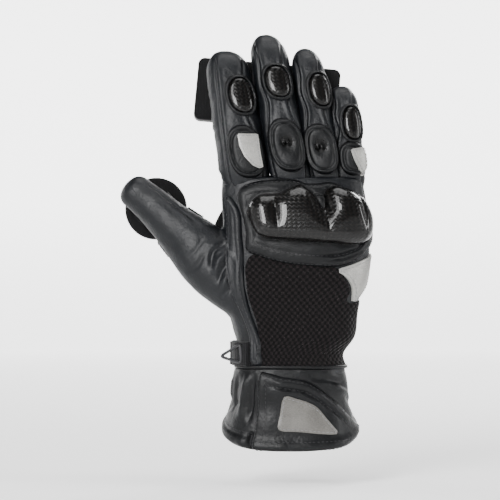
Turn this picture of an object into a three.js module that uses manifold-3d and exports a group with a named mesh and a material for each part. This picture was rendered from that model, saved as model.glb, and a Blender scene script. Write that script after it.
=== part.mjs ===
// A right-hand longboard slide glove, upright as worn: fingers to +Z, back of the hand to -Y, palm
// to +Y, thumb to -X. The origin is the centre of the hand opening. Lengths are in millimetres.
import * as THREE from 'three';
import { mergeVertices } from 'three/addons/utils/BufferGeometryUtils.js';
import Module from 'manifold-3d';

const wasm = await Module();
wasm.setup();

// Driving dimensions
const clearance = 0.3; // between pieces that touch
const leather = 2.0; // wall of the leather
const mouthHalfWidth = 45;
const mouthHalfDepth = 31;
const mouthSlant = 11; // the back hem hangs this much below the centre, the palm hem above
const cuffLength = 43; // mouth centre to wrist seam
const wristHalfWidth = 36;
const wristHalfDepth = 23;
const wristBack = -4; // the wrist lies this far towards the back
const handLength = 128; // wrist seam to finger crotches
const handHalfWidth = 50;
const handHalfDepth = 20;
const handShift = 4; // the hand lies towards the little finger
const thumbLength = 98; // tip to root, along its axis
const thumbHalfWidth = 19;
const thumbHalfDepth = 15;
const thumbRise = 41; // degrees above level
const thumbOut = 14; // degrees towards the palm
const guardHeight = 12;
const guardCushion = 4.5;
const padHeight = 3;
const reflectorShare = 0.66; // share of a lower pad that its patch covers
const shellHeight = 4.6;
const reflectorThickness = 0.9;
const stripThickness = 1.1;
const flapThickness = 1.8;
const flapBorder = 1.4; // padded border above the flap's middle
const elasticThickness = 1.6;
const ruffleHeight = 0.9;
const ruffleCount = 20; // round the whole wrist
const bodySides = 20; // faces round the hand and the cuff
const fingerSides = 14;
const thumbSides = 16;
const padSides = 11;
const puckSides = 36;
const thumbPuckSides = 24;
const palmPadSides = 24;
const thumbPadSides = 16;
const barPadSides = 16;
const hollowSides = 0.6; // share of those faces that the hollow inside has
const strapThickness = 1.8;
const puckRadius = 54;
const puckFaceRadius = 47;
const puckThickness = 16;
const puckEdge = 4; // upright part of the rim
const puckPadRadius = 42;
const puckPadThickness = 3.2;
const puckTurn = 3; // degrees, face towards the thumb
const thumbPuckRadius = 21.2;
const thumbPuckFaceRadius = 16.2;
const thumbPuckThickness = 11;
const thumbPuckEdge = 3;
const thumbPuckTilt = 5; // degrees, face towards the thumb's tip
const thumbPadRadius = 14;
const barWidth = 97;
const barHeight = 43;
const barThickness = 9;
const barPadThickness = 1.2;
const barCorner = 4;
const barRoll = 5.2; // degrees, thumb end higher
const barPitch = 9; // degrees, top edge away from the back
const barAside = 13; // its centre towards the thumb
const barRise = 60.5; // its centre above the finger crotches
const loopWire = 1.0; // radius
const loopBend = 3; // how far from a corner the wire starts to turn
const tabThickness = 4.6;

// One row for each finger: where its root and tip lie, how thick it is and how far it curls.
const fingers = {
  index: { rootX: -29.8, tipX: -43.0, length: 83, width: 32, depth: 26, rootY: 0, curl: 15 },
  middle: { rootX: 0.8, tipX: -16.2, length: 95, width: 27, depth: 26, rootY: -1, curl: 17 },
  ring: { rootX: 24.2, tipX: 10.4, length: 85.5, width: 23.4, depth: 24, rootY: 1.5, curl: 14 },
  little: { rootX: 40.2, tipX: 35.0, length: 61, width: 20.6, depth: 22, rootY: 3.5, curl: 9 },
};

// Sections of a finger from root to tip, as shares of its length, width and depth.
const fingerSections = [
  { at: -0.14, width: 0.8, depth: 0.7 },
  { at: 0.0, width: 1.0, depth: 0.96 },
  { at: 0.2, width: 1.0, depth: 1.0 },
  { at: 0.42, width: 1.0, depth: 0.98 },
  { at: 0.62, width: 0.97, depth: 0.96 },
  { at: 0.8, width: 0.93, depth: 0.92 },
  { at: 0.91, width: 0.79, depth: 0.79 },
  { at: 0.97, width: 0.58, depth: 0.6 },
  { at: 1.0, width: 0.28, depth: 0.3 },
];

// Sections of the cuff from mouth to wrist. at: share of the cuff's length. flare: 0 at the
// wrist's size, 1 at the mouth's. hem: share of the wall added for the rolled hem. slant: share
// of the mouth's slant. lean: share of the wrist's shift towards the back.
const cuffSections = [
  { at: 0.0, flare: 0.9, hem: 0.2, slant: 1.0, lean: 0.0 },
  { at: 0.04, flare: 0.95, hem: 0.9, slant: 1.0, lean: 0.0 },
  { at: 0.12, flare: 1.0, hem: 0.9, slant: 0.98, lean: 0.02 },
  { at: 0.18, flare: 1.0, hem: 0.1, slant: 0.93, lean: 0.05 },
  { at: 0.34, flare: 0.86, hem: 0.0, slant: 0.78, lean: 0.2 },
  { at: 0.52, flare: 0.42, hem: 0.0, slant: 0.52, lean: 0.45 },
  { at: 0.72, flare: 0.36, hem: 0.0, slant: 0.24, lean: 0.7 },
  { at: 0.86, flare: 0.26, hem: 0.0, slant: 0.08, lean: 0.9 },
  { at: 1.0, flare: 0.06, hem: 0.0, slant: 0.0, lean: 1.0 },
];

// Sections of the hand from wrist seam to finger crotches. at: share of the hand's length.
// width and depth: shares of the hand's half sizes. shift: share of its sideways shift.
const handSections = [
  { at: -0.12, width: 0.73, depth: 1.14, shift: 0.0, lean: 1.0 },
  { at: 0.0, width: 0.73, depth: 1.15, shift: 0.2, lean: 1.0 },
  { at: 0.07, width: 0.7, depth: 1.14, shift: -0.1, lean: 0.95 },
  { at: 0.16, width: 0.78, depth: 1.1, shift: 0.8, lean: 0.85 },
  { at: 0.32, width: 0.86, depth: 1.06, shift: 0.5, lean: 0.7 },
  { at: 0.45, width: 0.95, depth: 1.02, shift: 0.8, lean: 0.6 },
  { at: 0.6, width: 0.99, depth: 1.0, shift: 1.0, lean: 0.5 },
  { at: 0.78, width: 0.98, depth: 0.92, shift: 1.1, lean: 0.3 },
  { at: 0.9, width: 0.96, depth: 0.84, shift: 0.6, lean: 0.05 },
  { at: 1.0, width: 0.93, depth: 0.72, shift: 0.45, lean: -0.2 },
];

// Sections of the thumb from tip to root. at: share of its length. bend: share of the width by
// which the root drops towards the wrist.
const thumbSections = [
  { at: -0.02, width: 0.2, depth: 0.2, bend: 0.0 },
  { at: 0.0, width: 0.42, depth: 0.4, bend: 0.0 },
  { at: 0.06, width: 0.55, depth: 0.62, bend: 0.0 },
  { at: 0.14, width: 0.6, depth: 0.74, bend: 0.0 },
  { at: 0.3, width: 0.69, depth: 0.84, bend: 0.02 },
  { at: 0.5, width: 0.88, depth: 0.92, bend: 0.05 },
  { at: 0.66, width: 1.04, depth: 1.0, bend: 0.08 },
  { at: 0.84, width: 1.14, depth: 1.04, bend: 0.12 },
  { at: 1.0, width: 1.08, depth: 1.0, bend: 0.14 },
  { at: 1.14, width: 0.9, depth: 0.94, bend: 0.18 },
  { at: 1.3, width: 0.62, depth: 0.8, bend: 0.42 },
];

const thumbTip = { x: -2.165 * handHalfWidth, z: 0.957 * handLength }; // from the wrist seam
const thumbSeam = 0.62; // share of the thumb's length where its shell ends
const halfGap = clearance / 2 / thumbLength; // half of the gap at the seam
const strapFrom = 0.39; // shares of the thumb's length
const strapTo = 0.54;
const thumbPuckAt = 0.22;

// Outlines on the back of the hand: x as shares of the hand's half width from its middle, z as
// shares of its length from the wrist seam.
const guardOutline = [
  [-0.6, 0.77], [-0.5, 0.702], [-0.42, 0.683], [-0.29, 0.67], [0.03, 0.658], [0.35, 0.652],
  [0.59, 0.642], [0.75, 0.645], [0.91, 0.664], [0.99, 0.695], [1.03, 0.752], [1.03, 0.802],
  [0.97, 0.852], [0.88, 0.902], [0.8, 0.908], [0.67, 0.939], [0.53, 0.952], [0.4, 0.92],
  [0.34, 0.87], [0.26, 0.92], [0.11, 0.958], [-0.05, 0.945], [-0.19, 0.914], [-0.42, 0.908],
  [-0.56, 0.87], [-0.62, 0.82],
];
const guardLobes = [
  { x: -0.4, z: 0.8, rx: 0.3, rz: 0.138, height: 1.04 },
  { x: 0.02, z: 0.81, rx: 0.375, rz: 0.186, height: 1.15 },
  { x: 0.52, z: 0.8, rx: 0.35, rz: 0.192, height: 1.09 },
  { x: 0.86, z: 0.785, rx: 0.275, rz: 0.168, height: 0.98 },
];
const surroundOutline = [
  [-0.72, 0.78], [-0.68, 0.7], [-0.67, 0.62], [-0.53, 0.589], [-0.29, 0.558], [-0.05, 0.539],
  [0.19, 0.53], [0.43, 0.527], [0.59, 0.533], [0.75, 0.552], [0.9, 0.577], [0.98, 0.614],
  [1.08, 0.677], [1.12, 0.78], [1.04, 0.87], [0.88, 0.92], [0.75, 0.939], [0.54, 0.97],
  [0.35, 0.964], [0.19, 0.964], [0.0, 0.985], [-0.29, 0.983], [-0.61, 0.965], [-0.76, 0.92],
];
const stripOutline = [
  [-0.93, 0.895], [-0.93, 0.677], [-0.93, 0.52], [-0.89, 0.395], [-0.82, 0.302], [-0.78, 0.208],
  [-0.74, 0.1], [-0.66, 0.1], [-0.65, 0.239], [-0.69, 0.333], [-0.72, 0.427], [-0.71, 0.52],
  [-0.71, 0.614], [-0.745, 0.708], [-0.78, 0.833],
];
const meshOutline = [
  [-0.66, 0.53], [-0.67, 0.427], [-0.64, 0.333], [-0.6, 0.239], [-0.6, 0.164], [-0.56, 0.07],
  [-0.5, -0.2], [1.3, -0.2], [1.3, 0.34], [0.85, 0.335], [0.8, 0.4], [0.7, 0.45], [0.57, 0.506],
  [0.3, 0.505], [0.05, 0.51], [-0.29, 0.53], [-0.53, 0.56],
];
const wedgeOutline = [
  [0.58, 0.512], [0.75, 0.53], [0.9, 0.555], [1.1, 0.6], [1.1, 0.52], [1.02, 0.44], [0.9, 0.355],
  [0.86, 0.35], [0.81, 0.41], [0.71, 0.46],
];

// Outlines on the back of the cuff: x as shares of the mouth's half width, z of the cuff's length.
const flapOutline = [
  [-0.53, 0.93], [-0.41, 0.95], [-0.14, 0.893], [0.12, 0.856], [0.3, 0.819], [0.48, 0.726],
  [0.66, 0.595], [0.84, 0.447], [0.96, 0.26], [1.15, 0.06], [1.15, -0.4], [-0.55, -0.4], [-0.55, 0.4],
];
const flapMiddleOutline = [
  [-0.4, 0.78], [-0.14, 0.76], [0.12, 0.71], [0.3, 0.66], [0.46, 0.56], [0.6, 0.42], [0.74, 0.2],
  [0.8, 0.0], [0.76, -0.06], [0.5, -0.07], [0.0, -0.08], [-0.42, -0.06],
];
const flapReflectorOutline = [
  [-0.1, 0.595], [0.12, 0.558], [0.3, 0.502], [0.43, 0.428], [0.53, 0.298], [0.62, 0.167],
  [0.69, 0.056], [0.64, 0.03], [0.48, 0.037], [0.12, 0.074], [-0.17, 0.102], [-0.16, 0.316],
];
const palmStrapOutline = [
  [-0.36, 0.96], [0.66, 0.96], [0.68, 0.62], [-0.34, 0.55], [-0.4, 0.75],
];
const elasticOutline = [
  [-0.58, 0.19], [0.6, 0.19], [0.6, 0.045], [-0.58, 0.045],
];

// Armour pads on the back of each finger. at and high: where its middle is and its half height,
// as shares of the finger's length. aside and wide: the same across, as shares of its width.
const upperPads = {
  index: { at: 0.65, aside: 0.15, high: 0.155, wide: 0.34 },
  middle: { at: 0.67, aside: 0.04, high: 0.13, wide: 0.36 },
  ring: { at: 0.69, aside: 0.16, high: 0.14, wide: 0.37 },
  little: { at: 0.6, aside: 0.12, high: 0.2, wide: 0.36 },
};
const lowerPads = {
  index: { at: 0.22, aside: 0.07, high: 0.19, wide: 0.34 },
  middle: { at: 0.23, aside: 0.02, high: 0.17, wide: 0.38 },
  ring: { at: 0.22, aside: -0.04, high: 0.2, wide: 0.39 },
  little: { at: 0.2, aside: 0.1, high: 0.17, wide: 0.38 },
};
const padRim = 0.72; // share of an upper pad that its hard shell fills

const up = new THREE.Vector3(0, 0, 1);
const wristZ = cuffLength;
const crotchZ = wristZ + handLength;
const group = new THREE.Group();
const far = 4 * handLength;

const lerp = THREE.MathUtils.lerp;
const rad = THREE.MathUtils.degToRad;

// A solid from a closed geometry, with its shared corners merged.
function solidOf(geometry) {
  const plain = geometry.clone();
  plain.deleteAttribute('normal');
  plain.deleteAttribute('uv');
  const merged = mergeVertices(plain, 1e-4);
  return new wasm.Manifold(new wasm.Mesh({
    numProp: 3,
    vertProperties: new Float32Array(merged.attributes.position.array),
    triVerts: new Uint32Array(merged.index.array),
  }));
}

// A solid from its corners and the three corners of each face.
function solidFrom(points, faces) {
  const geometry = new THREE.BufferGeometry();
  const numbers = points.flatMap((p) => [p.x, p.y, p.z]);
  geometry.setAttribute('position', new THREE.Float32BufferAttribute(numbers, 3));
  geometry.setIndex(faces);
  return solidOf(geometry);
}

// A closed solid skinned over rings that all have the same number of points.
function skin(rings) {
  const count = rings[0].length;
  const points = rings.flat();
  const faces = [];
  for (let r = 0; r + 1 < rings.length; r += 1) {
    for (let i = 0; i < count; i += 1) {
      const a = r * count + i;
      const b = r * count + (i + 1) % count;
      faces.push(a, b, b + count, a, b + count, a + count);
    }
  }
  const capFor = (ring, first, flip) => {
    const middle = ring.reduce((sum, p) => sum.add(p), new THREE.Vector3()).divideScalar(count);
    points.push(middle);
    const centre = points.length - 1;
    for (let i = 0; i < count; i += 1) {
      const a = first + i;
      const b = first + (i + 1) % count;
      faces.push(...(flip ? [centre, b, a] : [centre, a, b]));
    }
  };
  capFor(rings[0], 0, true);
  capFor(rings[rings.length - 1], (rings.length - 1) * count, false);
  return solidFrom(points, faces);
}

// One ring of a rounded-rectangle section, in the plane of the two directions.
function ring(centre, across, through, halfWidth, halfDepth, count, roundness = 2.5, wave = null) {
  const points = [];
  for (let i = 0; i < count; i += 1) {
    const turn = (2 * Math.PI * i) / count;
    const c = Math.cos(turn);
    const s = Math.sin(turn);
    const extra = wave ? wave(turn) : 0;
    const u = Math.sign(c) * Math.abs(c) ** (2 / roundness) * (halfWidth + extra);
    const v = Math.sign(s) * Math.abs(s) ** (2 / roundness) * (halfDepth + extra);
    points.push(centre.clone().addScaledVector(across, u).addScaledVector(through, v));
  }
  return points;
}

const acrossHand = new THREE.Vector3(1, 0, 0);
const throughHand = new THREE.Vector3(0, 1, 0);

// A hollow, which is a form grown by less than nothing, needs fewer faces.
function sidesFor(count, grow) {
  return grow < 0 ? 2 * Math.round((hollowSides * count) / 2) : count;
}

// The cuff's outer form, grown by a distance. A negative one gives the hollow.
function cuffForm(grow, longer = 0) {
  const rows = cuffSections.map((row) => {
    const halfWidth = lerp(wristHalfWidth, mouthHalfWidth, row.flare) + row.hem * leather + grow;
    const halfDepth = lerp(wristHalfDepth, mouthHalfDepth, row.flare) + row.hem * leather + grow;
    const slope = (row.slant * mouthSlant) / mouthHalfDepth;
    const centre = new THREE.Vector3(0, row.lean * wristBack, row.at * cuffLength);
    const tilted = new THREE.Vector3(0, 1, slope);
    return { centre, tilted, halfWidth, halfDepth };
  });
  const first = rows[0];
  const last = rows[rows.length - 1];
  if (longer > 0) {
    rows.unshift({ ...first, centre: first.centre.clone().addScaledVector(up, -longer) });
    rows.push({ ...last, centre: last.centre.clone().addScaledVector(up, longer) });
  }
  const sides = sidesFor(bodySides, grow);
  return skin(rows.map((r) => ring(r.centre, acrossHand, r.tilted, r.halfWidth, r.halfDepth, sides)));
}

function handRows(grow) {
  return handSections.map((row) => ({
    centre: new THREE.Vector3(row.shift * handShift, row.lean * wristBack, wristZ + row.at * handLength),
    halfWidth: row.width * handHalfWidth + grow,
    halfDepth: row.depth * handHalfDepth + grow,
  }));
}

function handForm(grow, drop = 0, wave = null) {
  const rows = handRows(grow);
  rows[rows.length - 1].centre.z += Math.min(grow, 0) - drop;
  const sides = wave ? 4 * ruffleCount : sidesFor(bodySides, grow);
  const section = (r) => ring(r.centre, acrossHand, throughHand, r.halfWidth, r.halfDepth, sides, 2.6, wave);
  return skin(rows.map(section));
}

// The thumb's axis points from the root to the tip.
const thumbAxis = new THREE.Vector3(
  -Math.cos(rad(thumbRise)) * Math.cos(rad(thumbOut)),
  Math.sin(rad(thumbOut)),
  Math.sin(rad(thumbRise)) * Math.cos(rad(thumbOut)),
);
const thumbAcross = new THREE.Vector3(Math.sin(rad(thumbRise)), 0, Math.cos(rad(thumbRise)));
const thumbThrough = new THREE.Vector3().crossVectors(thumbAxis, thumbAcross).normalize();
const thumbRootY = -5;
const thumbEnd = new THREE.Vector3(
  thumbTip.x,
  thumbRootY + Math.sin(rad(thumbOut)) * thumbLength,
  wristZ + thumbTip.z,
);

function thumbPoint(at) {
  return thumbEnd.clone().addScaledVector(thumbAxis, -at * thumbLength);
}

function thumbForm(grow) {
  const rings = thumbSections.map((row, i) => {
    const end = i === 0 ? grow : 0;
    const centre = thumbPoint(row.at).addScaledVector(thumbAcross, -row.bend * thumbHalfWidth);
    centre.addScaledVector(thumbAxis, end);
    const halfWidth = Math.max(row.width * thumbHalfWidth + grow, 0.8);
    const halfDepth = Math.max(row.depth * thumbHalfDepth + grow, 0.8);
    return ring(centre, thumbAcross, thumbThrough, halfWidth, halfDepth, sidesFor(thumbSides, grow), 2.2);
  });
  return skin(rings.reverse());
}

// A finger's axis: its middle at a share of its length, and its section there.
function fingerSpot(name, at) {
  const f = fingers[name];
  const bent = Math.max(at, 0);
  const y = f.rootY + f.curl * bent ** 1.6;
  return new THREE.Vector3(lerp(f.rootX, f.tipX, at), y, crotchZ + at * f.length);
}

function fingerForm(name, grow) {
  const f = fingers[name];
  const rings = fingerSections.map((row, i) => {
    const centre = fingerSpot(name, row.at);
    if (i === fingerSections.length - 1) centre.z += grow;
    const halfWidth = Math.max((row.width * f.width) / 2 + grow, 0.8);
    const halfDepth = Math.max((row.depth * f.depth) / 2 + grow, 0.8);
    return ring(centre, acrossHand, throughHand, halfWidth, halfDepth, sidesFor(fingerSides, grow), 2.3);
  });
  return skin(rings);
}

function extruded(points, from, to) {
  const shape = new THREE.Shape(points);
  const geometry = new THREE.ExtrudeGeometry(shape, { depth: to - from, bevelEnabled: false });
  geometry.translate(0, 0, from);
  return geometry;
}

// A prism through an outline seen from the back, between two depths.
function prism(points, from, to) {
  const geometry = extruded(points, from, to);
  geometry.rotateX(Math.PI / 2);
  geometry.scale(1, -1, 1);
  const flipped = mergeVertices(geometry.deleteAttribute('normal').deleteAttribute('uv'), 1e-4);
  const order = flipped.index.array;
  for (let i = 0; i < order.length; i += 3) [order[i], order[i + 1]] = [order[i + 1], order[i]];
  return solidOf(flipped);
}

function grown(points, by) {
  const middle = points.reduce((sum, p) => sum.add(p), new THREE.Vector2()).divideScalar(points.length);
  return points.map((p) => p.clone().sub(middle).setLength(p.distanceTo(middle) + by).add(middle));
}

function onHand(outline) {
  return outline.map(([x, z]) => new THREE.Vector2(handShift + x * handHalfWidth, wristZ + z * handLength));
}

function onCuff(outline) {
  return outline.map(([x, z]) => new THREE.Vector2(x * mouthHalfWidth, z * cuffLength));
}

function oval(cx, cz, halfWidth, halfHeight, count, lean = 0, roundness = 2.3) {
  const points = [];
  for (let i = 0; i < count; i += 1) {
    const turn = (2 * Math.PI * i) / count;
    const c = Math.cos(turn);
    const s = Math.sin(turn);
    const u = Math.sign(c) * Math.abs(c) ** (2 / roundness) * halfWidth;
    const v = Math.sign(s) * Math.abs(s) ** (2 / roundness) * halfHeight;
    const turned = new THREE.Vector2(u, v).rotateAround(new THREE.Vector2(0, 0), lean);
    points.push(turned.add(new THREE.Vector2(cx, cz)));
  }
  return points;
}

function add(name, solid, color, roughness, metalness = 0) {
  const mesh = solid.getMesh();
  const geometry = new THREE.BufferGeometry();
  const points = new Float32Array(mesh.numVert * 3);
  for (let i = 0; i < mesh.numVert; i += 1) {
    for (let k = 0; k < 3; k += 1) points[3 * i + k] = mesh.vertProperties[mesh.numProp * i + k];
  }
  geometry.setAttribute('position', new THREE.BufferAttribute(points, 3));
  geometry.setIndex(new THREE.BufferAttribute(new Uint32Array(mesh.triVerts), 1));
  geometry.computeVertexNormals();
  const node = new THREE.Mesh(geometry, new THREE.MeshStandardMaterial({ color, roughness, metalness }));
  node.name = name;
  group.add(node);
  return node;
}

const leatherColor = '#3a3c40';
const padColor = '#303236';
const glossColor = '#1d1a1b';
const reflectorColor = '#b0afab';
const webbingColor = '#121215';

// Space that the wearer's hand takes, from the mouth to every fingertip.
const hollowBody = handForm(-leather).add(thumbForm(-leather));
const hollowCuff = cuffForm(-leather, 1);
const fingerNames = Object.keys(fingers);

// Each finger is pressed flat where it meets the finger before it.
const fingerSkins = {};
const fingerHollows = {};
fingerNames.forEach((name, i) => {
  let outer = fingerForm(name, 0);
  let inner = fingerForm(name, -leather);
  if (i > 0) {
    outer = outer.subtract(fingerForm(fingerNames[i - 1], clearance));
    inner = inner.subtract(fingerForm(fingerNames[i - 1], clearance + leather));
  }
  fingerSkins[name] = outer;
  fingerHollows[name] = inner;
});

// The dressed body grown by a distance, for what lies on it.
const grownBodies = new Map();
function bodyForm(grow) {
  const key = grow.toFixed(3);
  if (!grownBodies.has(key)) {
    let below = handForm(grow).add(thumbForm(grow));
    for (const name of fingerNames) below = below.add(fingerForm(name, grow));
    const cut = below.intersect(boxBetween(wristZ + clearance / 2, far));
    grownBodies.set(key, cut.add(cuffForm(grow)));
  }
  return grownBodies.get(key);
}

function boxBetween(low, high) {
  const box = new THREE.BoxGeometry(2 * far, 2 * far, high - low);
  box.translate(0, 0, (low + high) / 2);
  return solidOf(box);
}

function boxAcross(front, behind) {
  const box = new THREE.BoxGeometry(2 * far, behind - front, 2 * far);
  box.translate(0, (front + behind) / 2, 0);
  return solidOf(box);
}

const handBand = boxBetween(wristZ + clearance, crotchZ - clearance / 2);
const fingerBand = boxBetween(crotchZ + clearance / 2, far);
const cuffBand = boxBetween(-far, wristZ);

// What is cut off beyond the thumb's seam, and what is kept.
function thumbSide(at, beyond) {
  const block = new THREE.BoxGeometry(far, far, far);
  const turn = new THREE.Quaternion().setFromUnitVectors(up, thumbAxis);
  block.translate(0, 0, (beyond ? 1 : -1) * (far / 2));
  block.applyQuaternion(turn);
  const seat = thumbPoint(at);
  block.translate(seat.x, seat.y, seat.z);
  return solidOf(block);
}

// A layer that lies on the back or the palm within an outline.
function layer(points, lift, thickness, from, to) {
  const slab = bodyForm(lift + thickness).subtract(bodyForm(lift));
  return prism(points, from, to).intersect(slab);
}

const lift = clearance;
const backTo = handHalfDepth * 0.35; // how far a layer on the back wraps round the side
const sideSeamY = 0; // where the leather of the back meets the leather of the palm
const meshPoints = onHand(meshOutline);

function buildHand() {
  let outer = handForm(0).add(thumbForm(0));
  for (const name of fingerNames) outer = outer.add(fingerForm(name, 0));
  let wall = outer.subtract(hollowBody).intersect(handBand);
  for (const name of fingerNames) wall = wall.subtract(fingerHollows[name]);
  wall = wall.intersect(thumbSide(thumbSeam + halfGap, false));
  const window = prism(meshPoints, -far, backTo);
  const panel = wall.intersect(window);
  const roomy = prism(grown(meshPoints, clearance), -far, backTo + clearance);
  const leatherWall = wall.subtract(roomy);
  const behindSeam = boxAcross(-far, sideSeamY - clearance / 2);
  const beforeSeam = boxAcross(sideSeamY + clearance / 2, far);
  add('back_shell', biggest(leatherWall.intersect(behindSeam)), leatherColor, 0.5);
  add('palm_shell', biggest(leatherWall.intersect(beforeSeam)), leatherColor, 0.5);
  add('back_mesh_panel', biggest(panel), '#1f1b1c', 0.9);
}

function biggest(solid) {
  const pieces = solid.decompose();
  pieces.sort((a, b) => b.volume() - a.volume());
  return pieces[0];
}

function buildFingers() {
  for (const name of fingerNames) {
    const wall = fingerSkins[name].subtract(fingerHollows[name]).intersect(fingerBand);
    add(`${name}_finger`, biggest(wall), leatherColor, 0.5);
  }
}

function fingerLayer(name, points, from, thickness) {
  const outer = fingerForm(name, from + thickness);
  const slab = outer.subtract(fingerForm(name, from));
  const half = fingerSpot(name, 0.5).y;
  let piece = prism(points, -far, half).intersect(slab).intersect(fingerBand);
  for (const other of fingerNames) {
    if (other !== name) piece = piece.subtract(fingerForm(other, clearance));
  }
  return piece;
}

// The outline of a finger's pad, and how much smaller a share of it is, with a margin.
function padOutline(name, row, share, margin, sides, roundness) {
  const f = fingers[name];
  const lean = Math.atan2(f.rootX - f.tipX, f.length);
  const spot = fingerSpot(name, row.at);
  const halfWide = share * row.wide * f.width + margin;
  const halfHigh = share * row.high * f.length + margin;
  return oval(spot.x + row.aside * f.width, spot.z, halfWide, halfHigh, sides, lean, roundness);
}

function buildFingerPads() {
  for (const name of fingerNames) {
    const upper = upperPads[name];
    const whole = fingerLayer(name, padOutline(name, upper, 1, 0, padSides, 2.3), lift, padHeight);
    const hole = prism(padOutline(name, upper, padRim, clearance, padSides, 2.3), -far, far);
    add(`${name}_upper_pad`, biggest(whole.subtract(hole)), padColor, 0.45);
    const shell = fingerLayer(name, padOutline(name, upper, padRim, 0, padSides, 2.3), lift, shellHeight);
    add(`${name}_upper_shell`, biggest(shell), glossColor, 0.15);
    const lower = lowerPads[name];
    const pad = fingerLayer(name, padOutline(name, lower, 1, 0, padSides, 3), lift, padHeight);
    add(`${name}_lower_pad`, biggest(pad), padColor, 0.45);
    if (name === 'index' || name === 'little') {
      const patch = padOutline(name, lower, reflectorShare, 0, padSides, 4);
      const plate = fingerLayer(name, patch, 2 * lift + padHeight, reflectorThickness);
      add(`${name}_reflector`, biggest(plate), reflectorColor, 0.35);
    }
  }
}

function buildBack() {
  const guardPoints = onHand(guardOutline);
  const block = prism(guardPoints, -far, 0);
  let lobes = null;
  for (const lobe of guardLobes) {
    const ball = new THREE.SphereGeometry(1, 12, 8);
    const seat = new THREE.Vector2(handShift + lobe.x * handHalfWidth, wristZ + lobe.z * handLength);
    const back = wristBack * 0.3 - handHalfDepth * 0.9 * surfaceShare(lobe.x);
    const size = { x: lobe.rx * handHalfWidth, y: lobe.height * guardHeight, z: lobe.rz * handLength };
    ball.scale(size.x, size.y, size.z);
    ball.translate(seat.x, back, seat.y);
    const solid = solidOf(ball);
    lobes = lobes ? lobes.add(solid) : solid;
  }
  const base = bodyForm(lift + guardCushion).subtract(bodyForm(lift));
  const guard = lobes.subtract(bodyForm(lift)).add(base).intersect(block);
  add('knuckle_guard', biggest(guard), '#2a2625', 0.12);
  const surround = layer(onHand(surroundOutline), lift, guardCushion, -far, backTo)
    .subtract(prism(grown(guardPoints, clearance * 1.5), -far, far))
    .intersect(handBand);
  add('knuckle_surround', biggest(surround), leatherColor, 0.45);
  const strip = layer(onHand(stripOutline), lift, stripThickness, -far, 0).intersect(handBand);
  add('index_side_strip', biggest(strip), leatherColor, 0.5);
  const wedge = layer(onHand(wedgeOutline), lift, reflectorThickness, -far, backTo);
  add('side_reflector', biggest(wedge), reflectorColor, 0.35);
}

// How far the back bulges at a share of the hand's half width: 1 at its middle.
function surfaceShare(x) {
  return (1 - Math.min(Math.abs(x), 0.97) ** 2.6) ** (1 / 2.6);
}

function buildCuff() {
  const wall = cuffForm(0).subtract(hollowCuff).intersect(cuffBand);
  add('cuff_gauntlet', biggest(wall), leatherColor, 0.5);
  const under = cuffForm(lift, 1);
  const middle = cuffForm(lift + flapThickness).subtract(under).intersect(cuffBand);
  const padded = cuffForm(lift + flapThickness + flapBorder).subtract(under).intersect(cuffBand);
  const border = padded.subtract(prism(onCuff(flapMiddleOutline), -far, 0));
  const flap = prism(onCuff(flapOutline), -far, backTo).intersect(middle.add(border));
  add('cuff_flap', biggest(flap), leatherColor, 0.45);
  const above = 2 * lift + flapThickness;
  const plate = cuffForm(above + reflectorThickness).subtract(cuffForm(above, 1));
  const patch = prism(onCuff(flapReflectorOutline), -far, 0).intersect(plate);
  add('flap_reflector', biggest(patch), '#8f8d88', 0.35);
  const palmSlab = cuffForm(lift + strapThickness).subtract(cuffForm(lift, 1)).intersect(cuffBand);
  const strap = prism(onCuff(palmStrapOutline), 0, far).intersect(palmSlab);
  add('palm_wrist_strap', biggest(strap), '#202125', 0.7);
}

// Gathered elastic across the palm side of the wrist.
function buildElastic() {
  const wave = (turn) => ruffleHeight * 0.5 * (1 + Math.cos(turn * ruffleCount));
  const slab = handForm(lift + elasticThickness, 0, wave).subtract(bodyForm(lift));
  const band = prism(onHand(elasticOutline), handHalfDepth * 0.3, far).intersect(slab);
  add('wrist_elastic', biggest(band), '#26272b', 0.75);
}

function puckSolid(radius, faceRadius, thickness, edge, steps) {
  const chamfer = thickness * 0.06;
  const profile = [
    [0, 0], [radius - chamfer, 0], [radius, chamfer], [radius, edge],
    [faceRadius + chamfer, thickness - chamfer], [faceRadius - chamfer, thickness], [0, thickness],
  ].map(([r, h]) => new THREE.Vector2(r, h));
  const geometry = new THREE.LatheGeometry(profile, steps);
  return geometry;
}

// Half space as a big block behind a plane, on the side that the normal points away from.
function behind(point, normal) {
  const block = new THREE.BoxGeometry(far, far, far);
  block.translate(0, -far / 2, 0);
  block.applyQuaternion(new THREE.Quaternion().setFromUnitVectors(throughHand, normal));
  block.translate(point.x, point.y, point.z);
  return solidOf(block);
}

function placed(geometry, point, normal) {
  geometry.applyQuaternion(new THREE.Quaternion().setFromUnitVectors(throughHand, normal));
  geometry.translate(point.x, point.y, point.z);
  return geometry;
}

// How far a solid reaches along a direction from a point, of the corners that a test lets in.
function reach(solid, point, direction, within) {
  const mesh = solid.getMesh();
  let most = -Infinity;
  for (let i = 0; i < mesh.numVert; i += 1) {
    const corner = new THREE.Vector3().fromArray(mesh.vertProperties, mesh.numProp * i).sub(point);
    const along = corner.dot(direction);
    const aside = corner.addScaledVector(direction, -along);
    if (within(aside)) most = Math.max(most, along);
  }
  return most;
}

const palmPuckZ = wristZ + 0.6 * handLength;
const palmPuckX = 1;
const palmNormal = new THREE.Vector3(-Math.sin(rad(puckTurn)), Math.cos(rad(puckTurn)), 0);
const palmAxis = new THREE.Vector3(palmPuckX, 0, palmPuckZ);
const palmReach = reach(bodyForm(lift), palmAxis, palmNormal, (p) => p.length() < puckRadius);
const palmSeat = palmAxis.clone().addScaledVector(palmNormal, palmReach + puckPadThickness);

function cylinderAlong(radius, from, to, steps, normal, point) {
  const geometry = new THREE.CylinderGeometry(radius, radius, to - from, steps);
  geometry.translate(0, (from + to) / 2, 0);
  return solidOf(placed(geometry, point, normal));
}

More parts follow.
